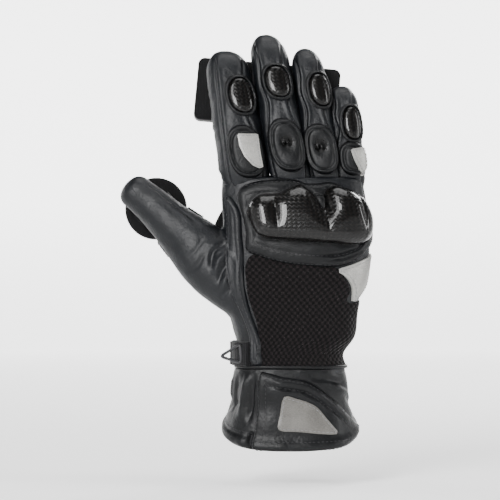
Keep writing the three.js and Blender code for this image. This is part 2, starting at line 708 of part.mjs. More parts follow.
function buildPalmPuck() {
  const round = cylinderAlong(puckPadRadius, -puckPadThickness * 5, -lift, palmPadSides, palmNormal, palmSeat);
  const pad = round.subtract(bodyForm(lift));
  add('palm_hook_pad', biggest(pad), webbingColor, 0.95);
  const puck = puckSolid(puckRadius, puckFaceRadius, puckThickness, puckEdge, puckSides);
  add('palm_puck', solidOf(placed(puck, palmSeat, palmNormal)), '#4a484b', 0.45);
}

function buildThumb() {
  const seam = thumbSide(thumbSeam - halfGap, true);
  add('thumb_shell', biggest(thumbForm(0).subtract(hollowBody).intersect(seam)), leatherColor, 0.5);
  const slab = thumbForm(lift + strapThickness).subtract(thumbForm(lift));
  const edge = thumbPoint(strapTo).addScaledVector(thumbThrough, -0.2 * thumbHalfDepth);
  const half = behind(edge, thumbThrough.clone().negate());
  const length = thumbSide(strapFrom, false).intersect(thumbSide(strapTo, true));
  const strap = slab.intersect(length).intersect(half);
  add('thumb_strap', biggest(strap), webbingColor, 0.9);
  const spot = thumbPoint(thumbPuckAt);
  const facing = thumbThrough.clone().applyAxisAngle(thumbAcross, rad(thumbPuckTilt));
  const near = (p) => p.length() < 1.2 * thumbPuckRadius;
  const over = reach(thumbForm(lift + strapThickness), spot, facing, near);
  const seat = spot.clone().addScaledVector(facing, over + lift);
  const puck = puckSolid(thumbPuckRadius, thumbPuckFaceRadius, thumbPuckThickness, thumbPuckEdge, thumbPuckSides);
  add('thumb_puck', solidOf(placed(puck, seat, facing)), '#4b4c4e', 0.45);
  const pad = cylinderAlong(thumbPadRadius, -thumbHalfDepth, -lift, thumbPadSides, facing, seat)
    .subtract(thumbForm(lift))
    .subtract(thumbForm(2 * lift + strapThickness).intersect(thumbSide(strapFrom - 2 * halfGap, false)));
  add('thumb_hook_pad', biggest(pad), webbingColor, 0.95);
}

const barTurn = new THREE.Quaternion().setFromEuler(new THREE.Euler(-rad(barPitch), rad(barRoll), 0, 'YXZ'));
const barNormal = throughHand.clone().applyQuaternion(barTurn);
const barAxis = new THREE.Vector3(-barAside, 0, crotchZ + barRise);
const overBar = (p) => Math.abs(p.x) < barWidth / 2 && Math.abs(p.z) < barHeight * 0.6;
const allFingers = fingerNames.map((name) => fingerForm(name, lift)).reduce((a, b) => a.add(b));
const barReach = reach(allFingers, barAxis, barNormal, overBar);
const barSpot = barAxis.clone().addScaledVector(barNormal, barReach + barPadThickness);

// Hook pads between bar and fingers. aside, wide: shares of the finger's width. at, high: shares of
// its length.
const barPads = [
  { name: 'index', aside: -0.1011, wide: 0.2969, at: 0.565, high: 0.235 },
  { name: 'middle', aside: -0.1657, wide: 0.3333, at: 0.725, high: 0.225 },
  { name: 'little', aside: -0.0587, wide: 0.4369, at: 0.575, high: 0.275 },
];

function buildBar() {
  const corners = [[1, 1], [-1, 1], [-1, -1], [1, -1]];
  const points = corners.flatMap(([sx, sz], k) => {
    const out = [];
    for (let i = 0; i <= 4; i += 1) {
      const turn = (k + i / 4) * (Math.PI / 2);
      out.push(new THREE.Vector2(
        sx * (barWidth / 2 - barCorner) + barCorner * Math.cos(turn),
        sz * (barHeight / 2 - barCorner) + barCorner * Math.sin(turn),
      ));
    }
    return out;
  });
  const solid = prism(points, 0, barThickness);
  const turned = solid.transform(matrixFor(barTurn, barSpot));
  add('finger_bar', turned, '#17161b', 0.3);
  const plane = behind(barSpot.clone().addScaledVector(barNormal, -lift), barNormal);
  for (const p of barPads) {
    const f = fingers[p.name];
    const spot = fingerSpot(p.name, p.at);
    const z = crotchZ + p.at * f.length;
    const outline = oval(spot.x + p.aside * f.width, z, p.wide * f.width, p.high * f.length, barPadSides, 0, 5);
    const block = prism(outline, fingerSpot(p.name, 0.6).y, far).intersect(plane);
    add(`${p.name}_bar_pad`, biggest(block.subtract(allFingers)), webbingColor, 0.95);
  }
}

function matrixFor(turn, point) {
  return new THREE.Matrix4().compose(point, turn, new THREE.Vector3(1, 1, 1)).toArray();
}

// The pull loop at the thumb side of the wrist, and the webbing tab that it hangs in.
// Both as shares of the hand's half width, half depth and length, from the wrist seam.
const loopCorners = [
  { x: -1.007, y: -0.358, z: 0.0638 },
  { x: -0.7415, y: -0.823, z: 0.131 },
  { x: -0.7235, y: -0.823, z: 0.0302 },
];
const tabOutline = [[-0.854, 0.1444], [-0.593, 0.1444], [-0.593, 0.0134], [-0.854, 0.0134]];

function loopPath(radius) {
  const seam = new THREE.Vector3(handShift, wristBack, wristZ);
  const sizes = new THREE.Vector3(handHalfWidth, handHalfDepth, handLength);
  const corners = loopCorners.map((c) => new THREE.Vector3(c.x, c.y, c.z).multiply(sizes).add(seam));
  const path = new THREE.CurvePath();
  const cut = loopBend;
  const near = (a, b) => a.clone().lerp(b, cut / a.distanceTo(b));
  corners.forEach((corner, i) => {
    const before = corners[(i + 2) % 3];
    const after = corners[(i + 1) % 3];
    path.add(new THREE.QuadraticBezierCurve3(near(corner, before), corner, near(corner, after)));
    path.add(new THREE.LineCurve3(near(corner, after), near(after, corner)));
  });
  const points = path.getSpacedPoints(20).slice(0, -1);
  const normal = corners[1].clone().sub(corners[0]).cross(corners[2].clone().sub(corners[0])).normalize();
  const count = 5;
  const rings = points.map((p, i) => {
    const after = points[(i + 1) % points.length];
    const before = points[(i + points.length - 1) % points.length];
    const ahead = after.clone().sub(before).normalize();
    const side = normal.clone().cross(ahead).normalize();
    return ring(p, side, normal, radius, radius, count, 2);
  });
  return tube(rings);
}

// A closed tube through rings, the last of which joins the first.
function tube(rings) {
  const count = rings[0].length;
  const points = rings.flat();
  const faces = [];
  rings.forEach((_, r) => {
    const next = (r + 1) % rings.length;
    for (let i = 0; i < count; i += 1) {
      const a = r * count + i;
      const b = r * count + ((i + 1) % count);
      const c = next * count + ((i + 1) % count);
      const d = next * count + i;
      faces.push(a, b, c, a, c, d);
    }
  });
  return solidFrom(points, faces);
}

function buildLoop() {
  const slab = bodyForm(lift + tabThickness).subtract(bodyForm(lift + stripThickness));
  const block = prism(onHand(tabOutline), -far, -0.2 * wristHalfDepth).intersect(slab);
  const tab = block.subtract(loopPath(loopWire + lift));
  add('wrist_loop_tab', biggest(tab), webbingColor, 0.95);
  add('wrist_pull_loop', loopPath(loopWire), '#8d8d90', 0.4, 0.6);
}

buildHand();
buildFingers();
buildFingerPads();
buildBack();
buildCuff();
buildElastic();
buildPalmPuck();
buildThumb();
buildBar();
buildLoop();

export default group;
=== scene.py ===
import math
import bmesh
import bpy
import numpy as np
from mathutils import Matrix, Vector


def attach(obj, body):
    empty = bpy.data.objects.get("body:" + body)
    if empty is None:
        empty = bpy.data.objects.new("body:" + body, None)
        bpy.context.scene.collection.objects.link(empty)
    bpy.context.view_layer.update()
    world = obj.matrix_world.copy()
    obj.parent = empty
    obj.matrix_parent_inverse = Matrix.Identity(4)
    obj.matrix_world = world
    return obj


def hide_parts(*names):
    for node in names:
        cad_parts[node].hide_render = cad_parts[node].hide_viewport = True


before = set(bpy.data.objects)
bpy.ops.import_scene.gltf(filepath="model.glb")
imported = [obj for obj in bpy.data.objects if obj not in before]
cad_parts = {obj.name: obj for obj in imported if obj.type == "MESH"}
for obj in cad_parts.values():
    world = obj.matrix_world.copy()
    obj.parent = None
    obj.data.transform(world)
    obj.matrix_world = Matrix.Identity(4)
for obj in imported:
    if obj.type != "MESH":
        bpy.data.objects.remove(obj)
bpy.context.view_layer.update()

# A right-hand slide glove, upright. Lengths below are millimetres; meshes are written in metres.
metre = 0.001
back = -math.pi / 2  # the turn round a section at which the middle of the back lies


def hexColor(text):
    parts = [int(text[i:i + 2], 16) / 255 for i in (1, 3, 5)]
    linear = [c / 12.92 if c <= 0.04045 else ((c + 0.055) / 1.055) ** 2.4 for c in parts]
    return (*linear, 1.0)


# Forms of the glove, with the same sizes as the solids

glove = {
    "leather": 2.0, "mouthHalfWidth": 45, "mouthHalfDepth": 31, "mouthSlant": 11, "cuffLength": 43,
    "wristHalfWidth": 36, "wristHalfDepth": 23, "wristBack": -4, "handLength": 128,
    "handHalfWidth": 50, "handHalfDepth": 20, "handShift": 4, "thumbLength": 98,
    "thumbHalfWidth": 19, "thumbHalfDepth": 15, "thumbRise": 41, "thumbOut": 14, "thumbRootY": -5,
}
wristZ = glove["cuffLength"]
crotchZ = wristZ + glove["handLength"]
# how square the sections are; 2 is an ellipse
squareness = {"hand": 2.6, "cuff": 2.5, "finger": 2.3, "thumb": 2.2}

fingerColumns = ("rootX", "tipX", "length", "width", "depth", "rootY", "curl", "tip")
fingerSizes = {
    "index": (-29.8, -43.0, 83, 32, 26, 0, 15, 2.6),
    "middle": (0.8, -16.2, 95, 27, 26, -1, 17, 1.4),
    "ring": (24.2, 10.4, 85.5, 23.4, 24, 1.5, 14, 1.5),
    "little": (40.2, 35.0, 61, 20.6, 22, 3.5, 9, 0.5),
}
fingers = {name: dict(zip(fingerColumns, row)) for name, row in fingerSizes.items()}

# Tables of sections. at: share of the length. The rest are shares of the form's own sizes.
fingerRows = {
    "at": [-0.14, 0.0, 0.2, 0.42, 0.62, 0.8, 1.0],
    "width": [0.8, 1.03, 1.04, 1.03, 0.98, 0.96, 0.93],
    "depth": [0.7, 0.96, 1.0, 0.98, 0.96, 0.94, 0.9],
}
cuffRows = {
    "at": [0.0, 0.04, 0.12, 0.18, 0.34, 0.52, 0.72, 0.86, 1.0],
    "flare": [0.76, 0.8, 0.84, 0.82, 0.6, 0.34, 0.3, 0.22, 0.06],
    "hem": [0.2, 0.9, 0.9, 0.1, 0.0, 0.0, 0.0, 0.0, 0.0],
    "slant": [1.0, 1.0, 0.98, 0.93, 0.78, 0.52, 0.24, 0.08, 0.0],
    "lean": [0.0, 0.0, 0.02, 0.05, 0.2, 0.45, 0.7, 0.9, 1.0],
}
handRows = {
    "at": [-0.12, 0.0, 0.07, 0.16, 0.32, 0.45, 0.6, 0.78, 0.9, 1.0],
    "width": [0.73, 0.73, 0.7, 0.78, 0.86, 0.95, 0.99, 0.98, 0.96, 0.93],
    "depth": [1.14, 1.15, 1.14, 1.1, 1.06, 1.02, 1.0, 0.92, 0.84, 0.72],
    "shift": [0.0, 0.2, -0.1, 0.8, 0.5, 0.8, 1.0, 1.1, 0.6, 0.45],
    "lean": [1.0, 1.0, 0.95, 0.85, 0.7, 0.6, 0.5, 0.3, 0.05, -0.2],
}
thumbRows = {
    "at": [-0.02, 0.14, 0.3, 0.5, 0.66, 0.84, 1.0, 1.14, 1.3],
    "width": [0.6, 0.64, 0.71, 0.88, 1.04, 1.14, 1.08, 0.9, 0.62],
    "depth": [0.64, 0.74, 0.84, 0.92, 1.0, 1.04, 0.98, 0.82, 0.5],
    "bend": [0.0, 0.0, 0.02, 0.05, 0.08, 0.12, 0.14, 0.2, 0.42],
}


def spline(rows, column, at):
    # smooth curve through a table's rows
    x = np.array(rows["at"], float)
    y = np.array(rows[column], float)
    at = np.clip(np.asarray(at, float), x[0], x[-1])
    k = np.clip(np.searchsorted(x, at, side="right") - 1, 0, len(x) - 2)
    slope = np.gradient(y, x)
    h = x[k + 1] - x[k]
    t = (at - x[k]) / h
    a = (2 * t ** 3 - 3 * t ** 2 + 1) * y[k] + (t ** 3 - 2 * t ** 2 + t) * h * slope[k]
    return a + (-2 * t ** 3 + 3 * t ** 2) * y[k + 1] + (t ** 3 - t ** 2) * h * slope[k + 1]


def dome(share):
    # 1 at the foot of a rounded end, 0 at its tip
    return np.maximum(1 - clamp(share) ** 2.5, 0.0004) ** 0.45


def section(turn, halfWidth, halfDepth, roundness):
    c, s = np.cos(turn), np.sin(turn)
    u = np.sign(c) * np.abs(c) ** (2 / roundness) * halfWidth
    v = np.sign(s) * np.abs(s) ** (2 / roundness) * halfDepth
    return u, v


def clamp(value):
    return np.clip(value, 0, 1)


def fullTurn(count):
    return np.linspace(0, 2 * np.pi, count, endpoint=False)


def unit(vectors):
    return vectors / np.linalg.norm(vectors, axis=-1, keepdims=True)


def stack(*columns):
    return np.stack(np.broadcast_arrays(*columns), axis=-1)


def handSurface(turn, at, lift=0.0):
    halfWidth = spline(handRows, "width", at) * glove["handHalfWidth"] + lift
    halfDepth = spline(handRows, "depth", at) * glove["handHalfDepth"] + lift
    u, v = section(turn, halfWidth, halfDepth, squareness["hand"])
    x = spline(handRows, "shift", at) * glove["handShift"] + u
    y = spline(handRows, "lean", at) * glove["wristBack"] + v
    return stack(x, y, wristZ + np.asarray(at) * glove["handLength"])


def cuffSurface(turn, at, lift=0.0):
    flare = spline(cuffRows, "flare", at)
    hem = spline(cuffRows, "hem", at) * glove["leather"]
    halfWidth, halfDepth = (
        glove[f"wristHalf{way}"] + flare * (glove[f"mouthHalf{way}"] - glove[f"wristHalf{way}"]) + hem + lift
        for way in ("Width", "Depth"))
    u, v = section(turn, halfWidth, halfDepth, squareness["cuff"])
    slope = spline(cuffRows, "slant", at) * glove["mouthSlant"] / glove["mouthHalfDepth"]
    y = spline(cuffRows, "lean", at) * glove["wristBack"] + v
    return stack(u, y, np.asarray(at) * glove["cuffLength"] + slope * v)


def fingerSurface(name):
    f = fingers[name]

    def surface(turn, at, lift=0.0):
        at = np.asarray(at, float)
        tip = dome((at - 0.78) / 0.22)
        halfWidth = np.maximum((spline(fingerRows, "width", at) * f["width"] / 2 + lift) * tip, 0.1)
        halfDepth = np.maximum((spline(fingerRows, "depth", at) * f["depth"] / 2 + lift) * tip, 0.1)
        u, v = section(turn, halfWidth, halfDepth, squareness["finger"])
        x = f["rootX"] + (f["tipX"] - f["rootX"]) * at + u
        y = f["rootY"] + f["curl"] * np.maximum(at, 0) ** 1.6 + v
        z = crotchZ + at * f["length"] + np.where(at > 0.9, lift * clamp((at - 0.9) / 0.1), 0)
        z = z + f["tip"] * clamp((at - 0.7) / 0.3) ** 1.5
        return stack(x, y, z)
    return surface


rise, out = math.radians(glove["thumbRise"]), math.radians(glove["thumbOut"])
thumbAxis = np.array([-math.cos(rise) * math.cos(out), math.sin(out), math.sin(rise) * math.cos(out)])
thumbAcross = np.array([math.sin(rise), 0, math.cos(rise)])
thumbThrough = np.cross(thumbAxis, thumbAcross)
thumbEnd = np.array([
    -2.165 * glove["handHalfWidth"],
    glove["thumbRootY"] + math.sin(out) * glove["thumbLength"],
    wristZ + 0.957 * glove["handLength"],
])


def thumbSurface(turn, at, lift=0.0):
    at = np.asarray(at, float)
    tip = dome((0.07 - at) / 0.09)
    halfWidth = np.maximum((spline(thumbRows, "width", at) * glove["thumbHalfWidth"] + lift) * tip, 0.1)
    halfDepth = np.maximum((spline(thumbRows, "depth", at) * glove["thumbHalfDepth"] + lift) * tip, 0.1)
    u, v = section(turn, halfWidth, halfDepth, squareness["thumb"])
    along = -at * glove["thumbLength"] + np.where(at < 0.05, lift, 0)
    across = u - spline(thumbRows, "bend", at) * glove["thumbHalfWidth"]
    return (thumbEnd + along[..., None] * thumbAxis + across[..., None] * thumbAcross
            + v[..., None] * thumbThrough)


# Meshes

def addObject(name, data):
    item = bpy.data.objects.new(name, data)
    bpy.context.scene.collection.objects.link(item)
    return item


def readAll(rows, key, width, kind=float):
    values = np.empty(len(rows) * width, kind)
    rows.foreach_get(key, values)
    return values.reshape(-1, width)


def signedVolume(points, faces):
    total = 0.0
    sizes = np.array([len(f) for f in faces])
    for n in np.unique(sizes):
        group = np.array([f for f in faces if len(f) == n])
        for k in range(1, n - 1):
            a, b, c = points[group[:, 0]], points[group[:, k]], points[group[:, k + 1]]
            total += np.sum(np.cross(a, b) * c) / 6
    return total


def makeMesh(name, points, faces, material=None, uv=None, sharp=50, closed=True):
    points = np.asarray(points, float)
    faces = [tuple(map(int, f)) for f in faces]
    if closed and signedVolume(points, faces) < 0:  # faces point outwards
        faces = [f[::-1] for f in faces]
    mesh = bpy.data.meshes.new(name)
    mesh.from_pydata((points * metre).tolist(), [], faces)
    if uv is not None:
        corners = readAll(mesh.loops, "vertex_index", 1, int)[:, 0]
        flat = np.asarray(uv)[corners].astype(np.float32)
        mesh.uv_layers.new(name="flat").data.foreach_set("uv", flat.ravel())
    mesh.validate()
    mesh.shade_smooth()
    if sharp:
        mesh.set_sharp_from_angle(angle=math.radians(sharp))
    if material:
        mesh.materials.append(material)
    return addObject(name, mesh)


def gridFaces(rows, columns, first=0):
    r = np.arange(rows - 1)[:, None]
    c = np.arange(columns)[None, :]
    a = first + r * columns + c
    b = first + r * columns + (c + 1) % columns
    return stack(a, b, b + columns, a + columns).reshape(-1, 4)


def ringFaces(rows, columns):
    # the last row joins the first
    c = np.arange(columns)
    last = (rows - 1) * columns
    join = stack(last + c, last + (c + 1) % columns, (c + 1) % columns, c)
    return np.vstack([gridFaces(rows, columns), join])


def closedLoft(grid):
    # grid: rows x columns x 3, from bottom to top, with a fan at each end
    rows, columns = grid.shape[:2]
    points = grid.reshape(-1, 3)
    top = (rows - 1) * columns
    i = np.arange(columns)
    j = (i + 1) % columns
    centre = np.full(columns, len(points))
    fans = np.vstack([stack(centre, j, i), stack(centre + 1, top + i, top + j)])
    points = np.vstack([points, points[:columns].mean(axis=0), points[top:].mean(axis=0)])
    return points, [tuple(f) for f in gridFaces(rows, columns)] + [tuple(f) for f in fans]


def gridOf(surface, count, ats):
    turn, at = np.meshgrid(fullTurn(count), ats)
    return surface(turn, at)


def ripple(points, size, seed, count=14):
    # soft unevenness with a real size in millimetres
    draw = np.random.default_rng(seed)
    directions = unit(draw.normal(size=(count, 3)))
    phases = draw.uniform(0, 2 * np.pi, count)
    lengths = size * draw.uniform(0.7, 1.5, count)
    waves = np.sin(2 * np.pi * (np.asarray(points) @ directions.T) / lengths + phases)
    return waves.sum(axis=-1) / math.sqrt(count)


def flatRipple(u, v, size, seed, count=14):
    return ripple(stack(u, v, 0 * u), size, seed, count)


def walkedAlong(path):
    # length walked at each point of a polyline
    return np.concatenate([[0], np.cumsum(np.linalg.norm(np.diff(path, axis=0), axis=1))])


def nearest(points, path):
    # distance from each point to a polyline, the nearest place on it and its share of the way along
    best = np.full(len(points), 1e9)
    along = np.zeros(len(points))
    spot = np.zeros_like(points)
    walked = walkedAlong(path)
    walked = walked / walked[-1]
    for k, (a, b) in enumerate(zip(path, path[1:])):
        ab = b - a
        t = clamp(((points - a) @ ab) / max(ab @ ab, 1e-12))
        q = a + t[:, None] * ab
        d = np.linalg.norm(points - q, axis=1)
        near = d < best
        best[near], spot[near] = d[near], q[near]
        along[near] = walked[k] + t[near] * (walked[k + 1] - walked[k])
    return best, spot, along


def closedPath(outline):
    return np.vstack([outline, outline[:1]])


def curvePiece(a, b, c, d, t):
    # Catmull-Rom piece from b to c
    return 0.5 * (2 * b + (c - a) * t + (2 * a - 5 * b + 4 * c - d) * t ** 2 + (3 * b - a - 3 * c + d) * t ** 3)


def smoothClosed(points, per=6):
    p = np.asarray(points, float)
    n = len(p)
    t = np.linspace(0, 1, per, endpoint=False)[:, None]
    return np.vstack([curvePiece(p[i - 1], p[i], p[(i + 1) % n], p[(i + 2) % n], t) for i in range(n)])


def smoothOpen(points, per=8):
    p = np.asarray(points, float)
    p = np.vstack([2 * p[0] - p[1], p, 2 * p[-1] - p[-2]])
    t = np.linspace(0, 1, per, endpoint=False)[:, None]
    pieces = [curvePiece(p[i - 1], p[i], p[i + 1], p[i + 2], t) for i in range(1, len(p) - 2)]
    return np.vstack(pieces + [p[-2:-1]])


def insideOutline(points, outline):
    x, y = points[:, 0], points[:, 1]
    hit = np.zeros(len(points), bool)
    for a, b in zip(outline, np.roll(outline, -1, axis=0)):
        crosses = (a[1] > y) != (b[1] > y)
        with np.errstate(divide="ignore", invalid="ignore"):
            edge = (b[0] - a[0]) * (y - a[1]) / (b[1] - a[1]) + a[0]
        hit ^= crosses & (x < edge)
    return hit


def toOutline(points, outline):
    return nearest(points, closedPath(outline))[0]


def patch(name, outline, surface, height, cell, material, palm=False):
    # a closed layer on a surface, within an outline in millimetres on the flattened surface
    sink = 1.0  # how far it reaches into what it lies on
    low, high = outline.min(axis=0) - cell, outline.max(axis=0) + cell
    us = np.arange(low[0], high[0] + cell, cell)
    vs = np.arange(low[1], high[1] + cell, cell)
    flat = np.stack(np.meshgrid(us, vs), axis=-1).reshape(-1, 2)
    distance, spot, _ = nearest(flat, closedPath(outline))
    kept = (insideOutline(flat, outline) & (distance > 0.3 * cell)).reshape(len(vs), len(us))
    cells = kept[:-1, :-1] & kept[1:, :-1] & kept[:-1, 1:] & kept[1:, 1:]
    for _ in range(2):  # cells that hang on by one corner or one edge are dropped
        padded = np.pad(cells, 1)
        beside = padded[:-2, 1:-1].astype(int) + padded[2:, 1:-1] + padded[1:-1, :-2] + padded[1:-1, 2:]
        cells = cells & (beside >= 2)
    r, c = np.nonzero(cells)
    n = len(us)
    quads = stack(r * n + c, r * n + c + 1, (r + 1) * n + c + 1, (r + 1) * n + c)
    used, compact = np.unique(quads, return_inverse=True)
    quads = compact.reshape(-1, 4)
    flat, distance, spot = flat[used], distance[used], spot[used]
    edges = np.vstack([quads[:, [0, 1]], quads[:, [1, 2]], quads[:, [2, 3]], quads[:, [3, 0]]])
    keys = edges[:, 0] * len(flat) + edges[:, 1]
    opposite = edges[:, 1] * len(flat) + edges[:, 0]
    rim = edges[~np.isin(keys, opposite)]
    border = np.unique(rim)
    flat[border] = spot[border]
    distance[border] = 0
    top = surface(flat[:, 0], flat[:, 1], height(distance, flat[:, 0], flat[:, 1]))
    bottom = surface(flat[:, 0], flat[:, 1], np.full(len(flat), -sink))
    m = len(flat)
    sides = stack(rim[:, 1], rim[:, 0], rim[:, 0] + m, rim[:, 1] + m)
    faces = np.vstack([quads, quads[:, ::-1] + m, sides])
    if palm:  # the surface is mirrored there, so the faces turn round
        faces = faces[:, ::-1]
    return makeMesh(name, np.vstack([top, bottom]), faces, material, np.vstack([flat, flat]) / 100)


def rounded(distance, radius):
    # 0 at a rim, 1 a radius inside it, like a rolled edge
    t = clamp(distance / radius)
    return np.sqrt(1 - (1 - t) ** 2)


def bump(x, width):
    return np.exp(-(x / width) ** 2)


def rolled(base, roll, radius):
    # height of a layer that is even but for its rolled rim
    return lambda distance, u, v: base + roll * rounded(distance, radius)


def flattener(halfWidth, halfDepth, roundness):
    # lengths round a section, measured from the middle of the back, turned to turns and back
    turns = back + np.linspace(-2.6, 2.6, 1201)
    u, v = section(turns, halfWidth, halfDepth, roundness)
    steps = np.hypot(np.diff(u), np.diff(v))
    lengths = np.concatenate([[0], np.cumsum(steps)])
    lengths -= np.interp(back, turns, lengths)

    def fromShare(x):
        # share of the half width, past 1 round to the palm side
        x = np.asarray(x, float)
        c = np.minimum(np.abs(x), 1) ** (roundness / 2)
        turn = back + np.sign(x) * np.arcsin(c)
        turn = np.where(np.abs(x) > 1, back + np.sign(x) * (math.pi / 2 + (np.abs(x) - 1) * 3.0), turn)
        return np.interp(turn, turns, lengths)

    def toTurn(length):
        return np.interp(length, lengths, turns)
    return fromShare, toTurn


handShare, handTurn = flattener(glove["handHalfWidth"] * 0.97, glove["handHalfDepth"], squareness["hand"])
cuffShare, cuffTurn = flattener(glove["mouthHalfWidth"], glove["mouthHalfDepth"], squareness["cuff"])


def onHand(shares):
    s = np.array(shares, float)
    return stack(handShare(s[:, 0]), wristZ + s[:, 1] * glove["handLength"])


def onCuff(shares):
    s = np.array(shares, float)
    return stack(cuffShare(s[:, 0]), s[:, 1] * glove["cuffLength"])


def overThumb(points, lift):
    # moves points out where the thumb's root stands higher than the hand
    offset = points - thumbEnd
    at = -(offset @ thumbAxis) / glove["thumbLength"]
    halfWidth = spline(thumbRows, "width", at) * glove["thumbHalfWidth"]
    halfDepth = spline(thumbRows, "depth", at) * glove["thumbHalfDepth"]
    across = offset @ thumbAcross + spline(thumbRows, "bend", at) * glove["thumbHalfWidth"]
    inside = clamp(1 - np.abs(across / halfWidth) ** squareness["thumb"])
    through = -halfDepth * inside ** (1 / squareness["thumb"]) - lift
    over = (offset @ thumbThrough - through) / thumbThrough[1]
    far, soft = -9.0, 2.5  # a height well below the surface, and how soft the two forms join
    over = np.where((at > 0.3) & (at < 1.28) & (inside > 0), over, far)
    push = 0.5 * (over + np.sqrt(over ** 2 + soft)) - 0.5 * (far + math.sqrt(far ** 2 + soft))
    moved = points.copy()
    moved[..., 1] -= np.maximum(push, 0)
    return moved


def handLayer(u, v, lift):
    points = handSurface(handTurn(u), (np.asarray(v) - wristZ) / glove["handLength"], lift)
    return overThumb(points, lift)


def cuffLayer(u, v, lift):
    # v is the height at the middle of the back, so the slant is taken off
    turn = cuffTurn(u)
    at = np.asarray(v) / glove["cuffLength"]
    for _ in range(3):
        z = cuffSurface(turn, at)[..., 2]
        at = at + (np.asarray(v) - z) / glove["cuffLength"] * 0.8
    return cuffSurface(turn, np.clip(at, 0.02, 1), lift)


def cuffAt(turn, height):
    # share of the cuff's length at which its surface has a height, at each turn
    at = np.asarray(height, float) / glove["cuffLength"]
    for _ in range(4):
        z = cuffSurface(turn, at)[..., 2]
        at = clamp(at + (height - z) / glove["cuffLength"] * 0.8)
    return at


fingerForms = {name: fingerSurface(name) for name in fingers}


def fingerLayer(name):
    f = fingers[name]
    _, toTurn = flattener(f["width"] / 2, f["depth"] / 2, squareness["finger"])
    return lambda u, v, lift: fingerForms[name](toTurn(u), np.asarray(v) / f["length"], lift)


def handPalm(u, v, lift):
    return handSurface(-handTurn(u), (np.asarray(v) - wristZ) / glove["handLength"], lift)


def cuffPalm(u, v, lift):
    turn = -cuffTurn(u)
    return cuffSurface(turn, cuffAt(turn, np.asarray(v)), lift)


def thumbPalm(u, v, lift):
    # u: millimetres round the thumb from the middle of its palm side, v: millimetres from its end
    turn = math.pi / 2 - np.asarray(u) / glove["thumbHalfDepth"]
    return thumbSurface(turn, np.asarray(v) / glove["thumbLength"], lift)


# Materials

def addNode(tree, kind, settings=None, links=None):
    node = tree.nodes.new(kind)
    for key, value in (settings or {}).items():
        if isinstance(key, int) or key in node.inputs.keys():
            node.inputs[key].default_value = value
        else:
            setattr(node, key, value)
    for key, source in (links or {}).items():
        tree.links.new(source, node.inputs[key])
    return node


def mathNode(tree, operation, *values):
    settings = {k: value for k, value in enumerate(values) if isinstance(value, (int, float))}
    links = {k: value for k, value in enumerate(values) if k not in settings}
    return addNode(tree, "ShaderNodeMath", {"operation": operation, **settings}, links).outputs[0]


def blend(tree, a, b, share):
    return mathNode(tree, "ADD", mathNode(tree, "MULTIPLY", a, share), mathNode(tree, "MULTIPLY", b, 1 - share))


def sine(tree, source, pace):
    return mathNode(tree, "SINE", mathNode(tree, "MULTIPLY", source, pace))


def objectSpace(tree):
    return addNode(tree, "ShaderNodeTexCoord").outputs["Object"]


def flatSpace(tree, size=100):
    # the place on the flattened piece, in steps of a size in millimetres
    uv = addNode(tree, "ShaderNodeUVMap", {"uv_map": "flat"}).outputs["UV"]
    return addNode(tree, "ShaderNodeMapping", {"Scale": (100 / size,) * 3}, {"Vector": uv}).outputs["Vector"]


def apart(tree, place):
    return addNode(tree, "ShaderNodeSeparateXYZ", None, {"Vector": place}).outputs


def noise(tree, scale, detail=2.0, place=None, **settings):
    place = objectSpace(tree) if place is None else place
    node = addNode(tree, "ShaderNodeTexNoise", {"Scale": scale, "Detail": detail, **settings}, {"Vector": place})
    return node.outputs["Fac"]


def startMaterial(name, settings):
    material = bpy.data.materials.new(name)
    material.use_nodes = True
    tree = material.node_tree
    shader = tree.nodes["Principled BSDF"]
    for key, value in settings.items():
        shader.inputs[key].default_value = value
    return material, tree, shader


def ramp(tree, source, stops):
    node = addNode(tree, "ShaderNodeValToRGB", None, {"Fac": source})
    while len(node.color_ramp.elements) < len(stops):
        node.color_ramp.elements.new(0.5)
    for element, (place, color) in zip(node.color_ramp.elements, stops):
        element.position = place
        element.color = color
    return node.outputs["Color"]


def tint(tree, shader, source, low, high):
    # base colour between two tones, each with its place on the source
    stops = [(place, hexColor(tone)) for place, tone in (low, high)]
    tree.links.new(ramp(tree, source, stops), shader.inputs["Base Color"])


def shine(tree, shader, source, low, high):
    node = addNode(tree, "ShaderNodeMapRange", {"To Min": low, "To Max": high}, {"Value": source})
    tree.links.new(node.outputs["Result"], shader.inputs["Roughness"])


def bumps(tree, shader, *layers):
    # layers of (source, strength, distance in mm)
    normal = None
    for source, strength, distance in layers:
        links = {"Height": source, "Normal": normal} if normal else {"Height": source}
        node = addNode(tree, "ShaderNodeBump", {"Strength": strength, "Distance": distance * metre}, links)
        normal = node.outputs["Normal"]
    tree.links.new(normal, shader.inputs["Normal"])


def leatherMaterial(name, dark, light, roughness, sheen, grain=1.4, seed=0.0):
    # drum-dyed full-grain leather: a fine pebble, softly shining, paler where it is rubbed
    material, tree, shader = startMaterial(name, {"Roughness": roughness, "IOR": 1.5, "Specular IOR Level": sheen})
    moved = addNode(tree, "ShaderNodeVectorMath", {"operation": "ADD", 1: (seed, seed, 0)}, {0: objectSpace(tree)})
    place = moved.outputs[0]
    cloud = noise(tree, 70, 4, place, Roughness=0.6)
    soft = noise(tree, 260, 3, place)
    crease = noise(tree, 130, 5, place, Roughness=0.62, Distortion=1.6)
    pebble = addNode(tree, "ShaderNodeTexVoronoi", {"feature": "SMOOTH_F1", "Scale": 1000 / grain}, {"Vector": place})
    tint(tree, shader, cloud, (0.3, dark), (0.72, light))
    shine(tree, shader, soft, roughness - 0.07, roughness + 0.1)
    bumps(tree, shader, (pebble.outputs["Distance"], 0.45, 0.25), (soft, 0.35, 0.3), (crease, 0.5, 0.7),
          (cloud, 0.25, 0.8))
    return material


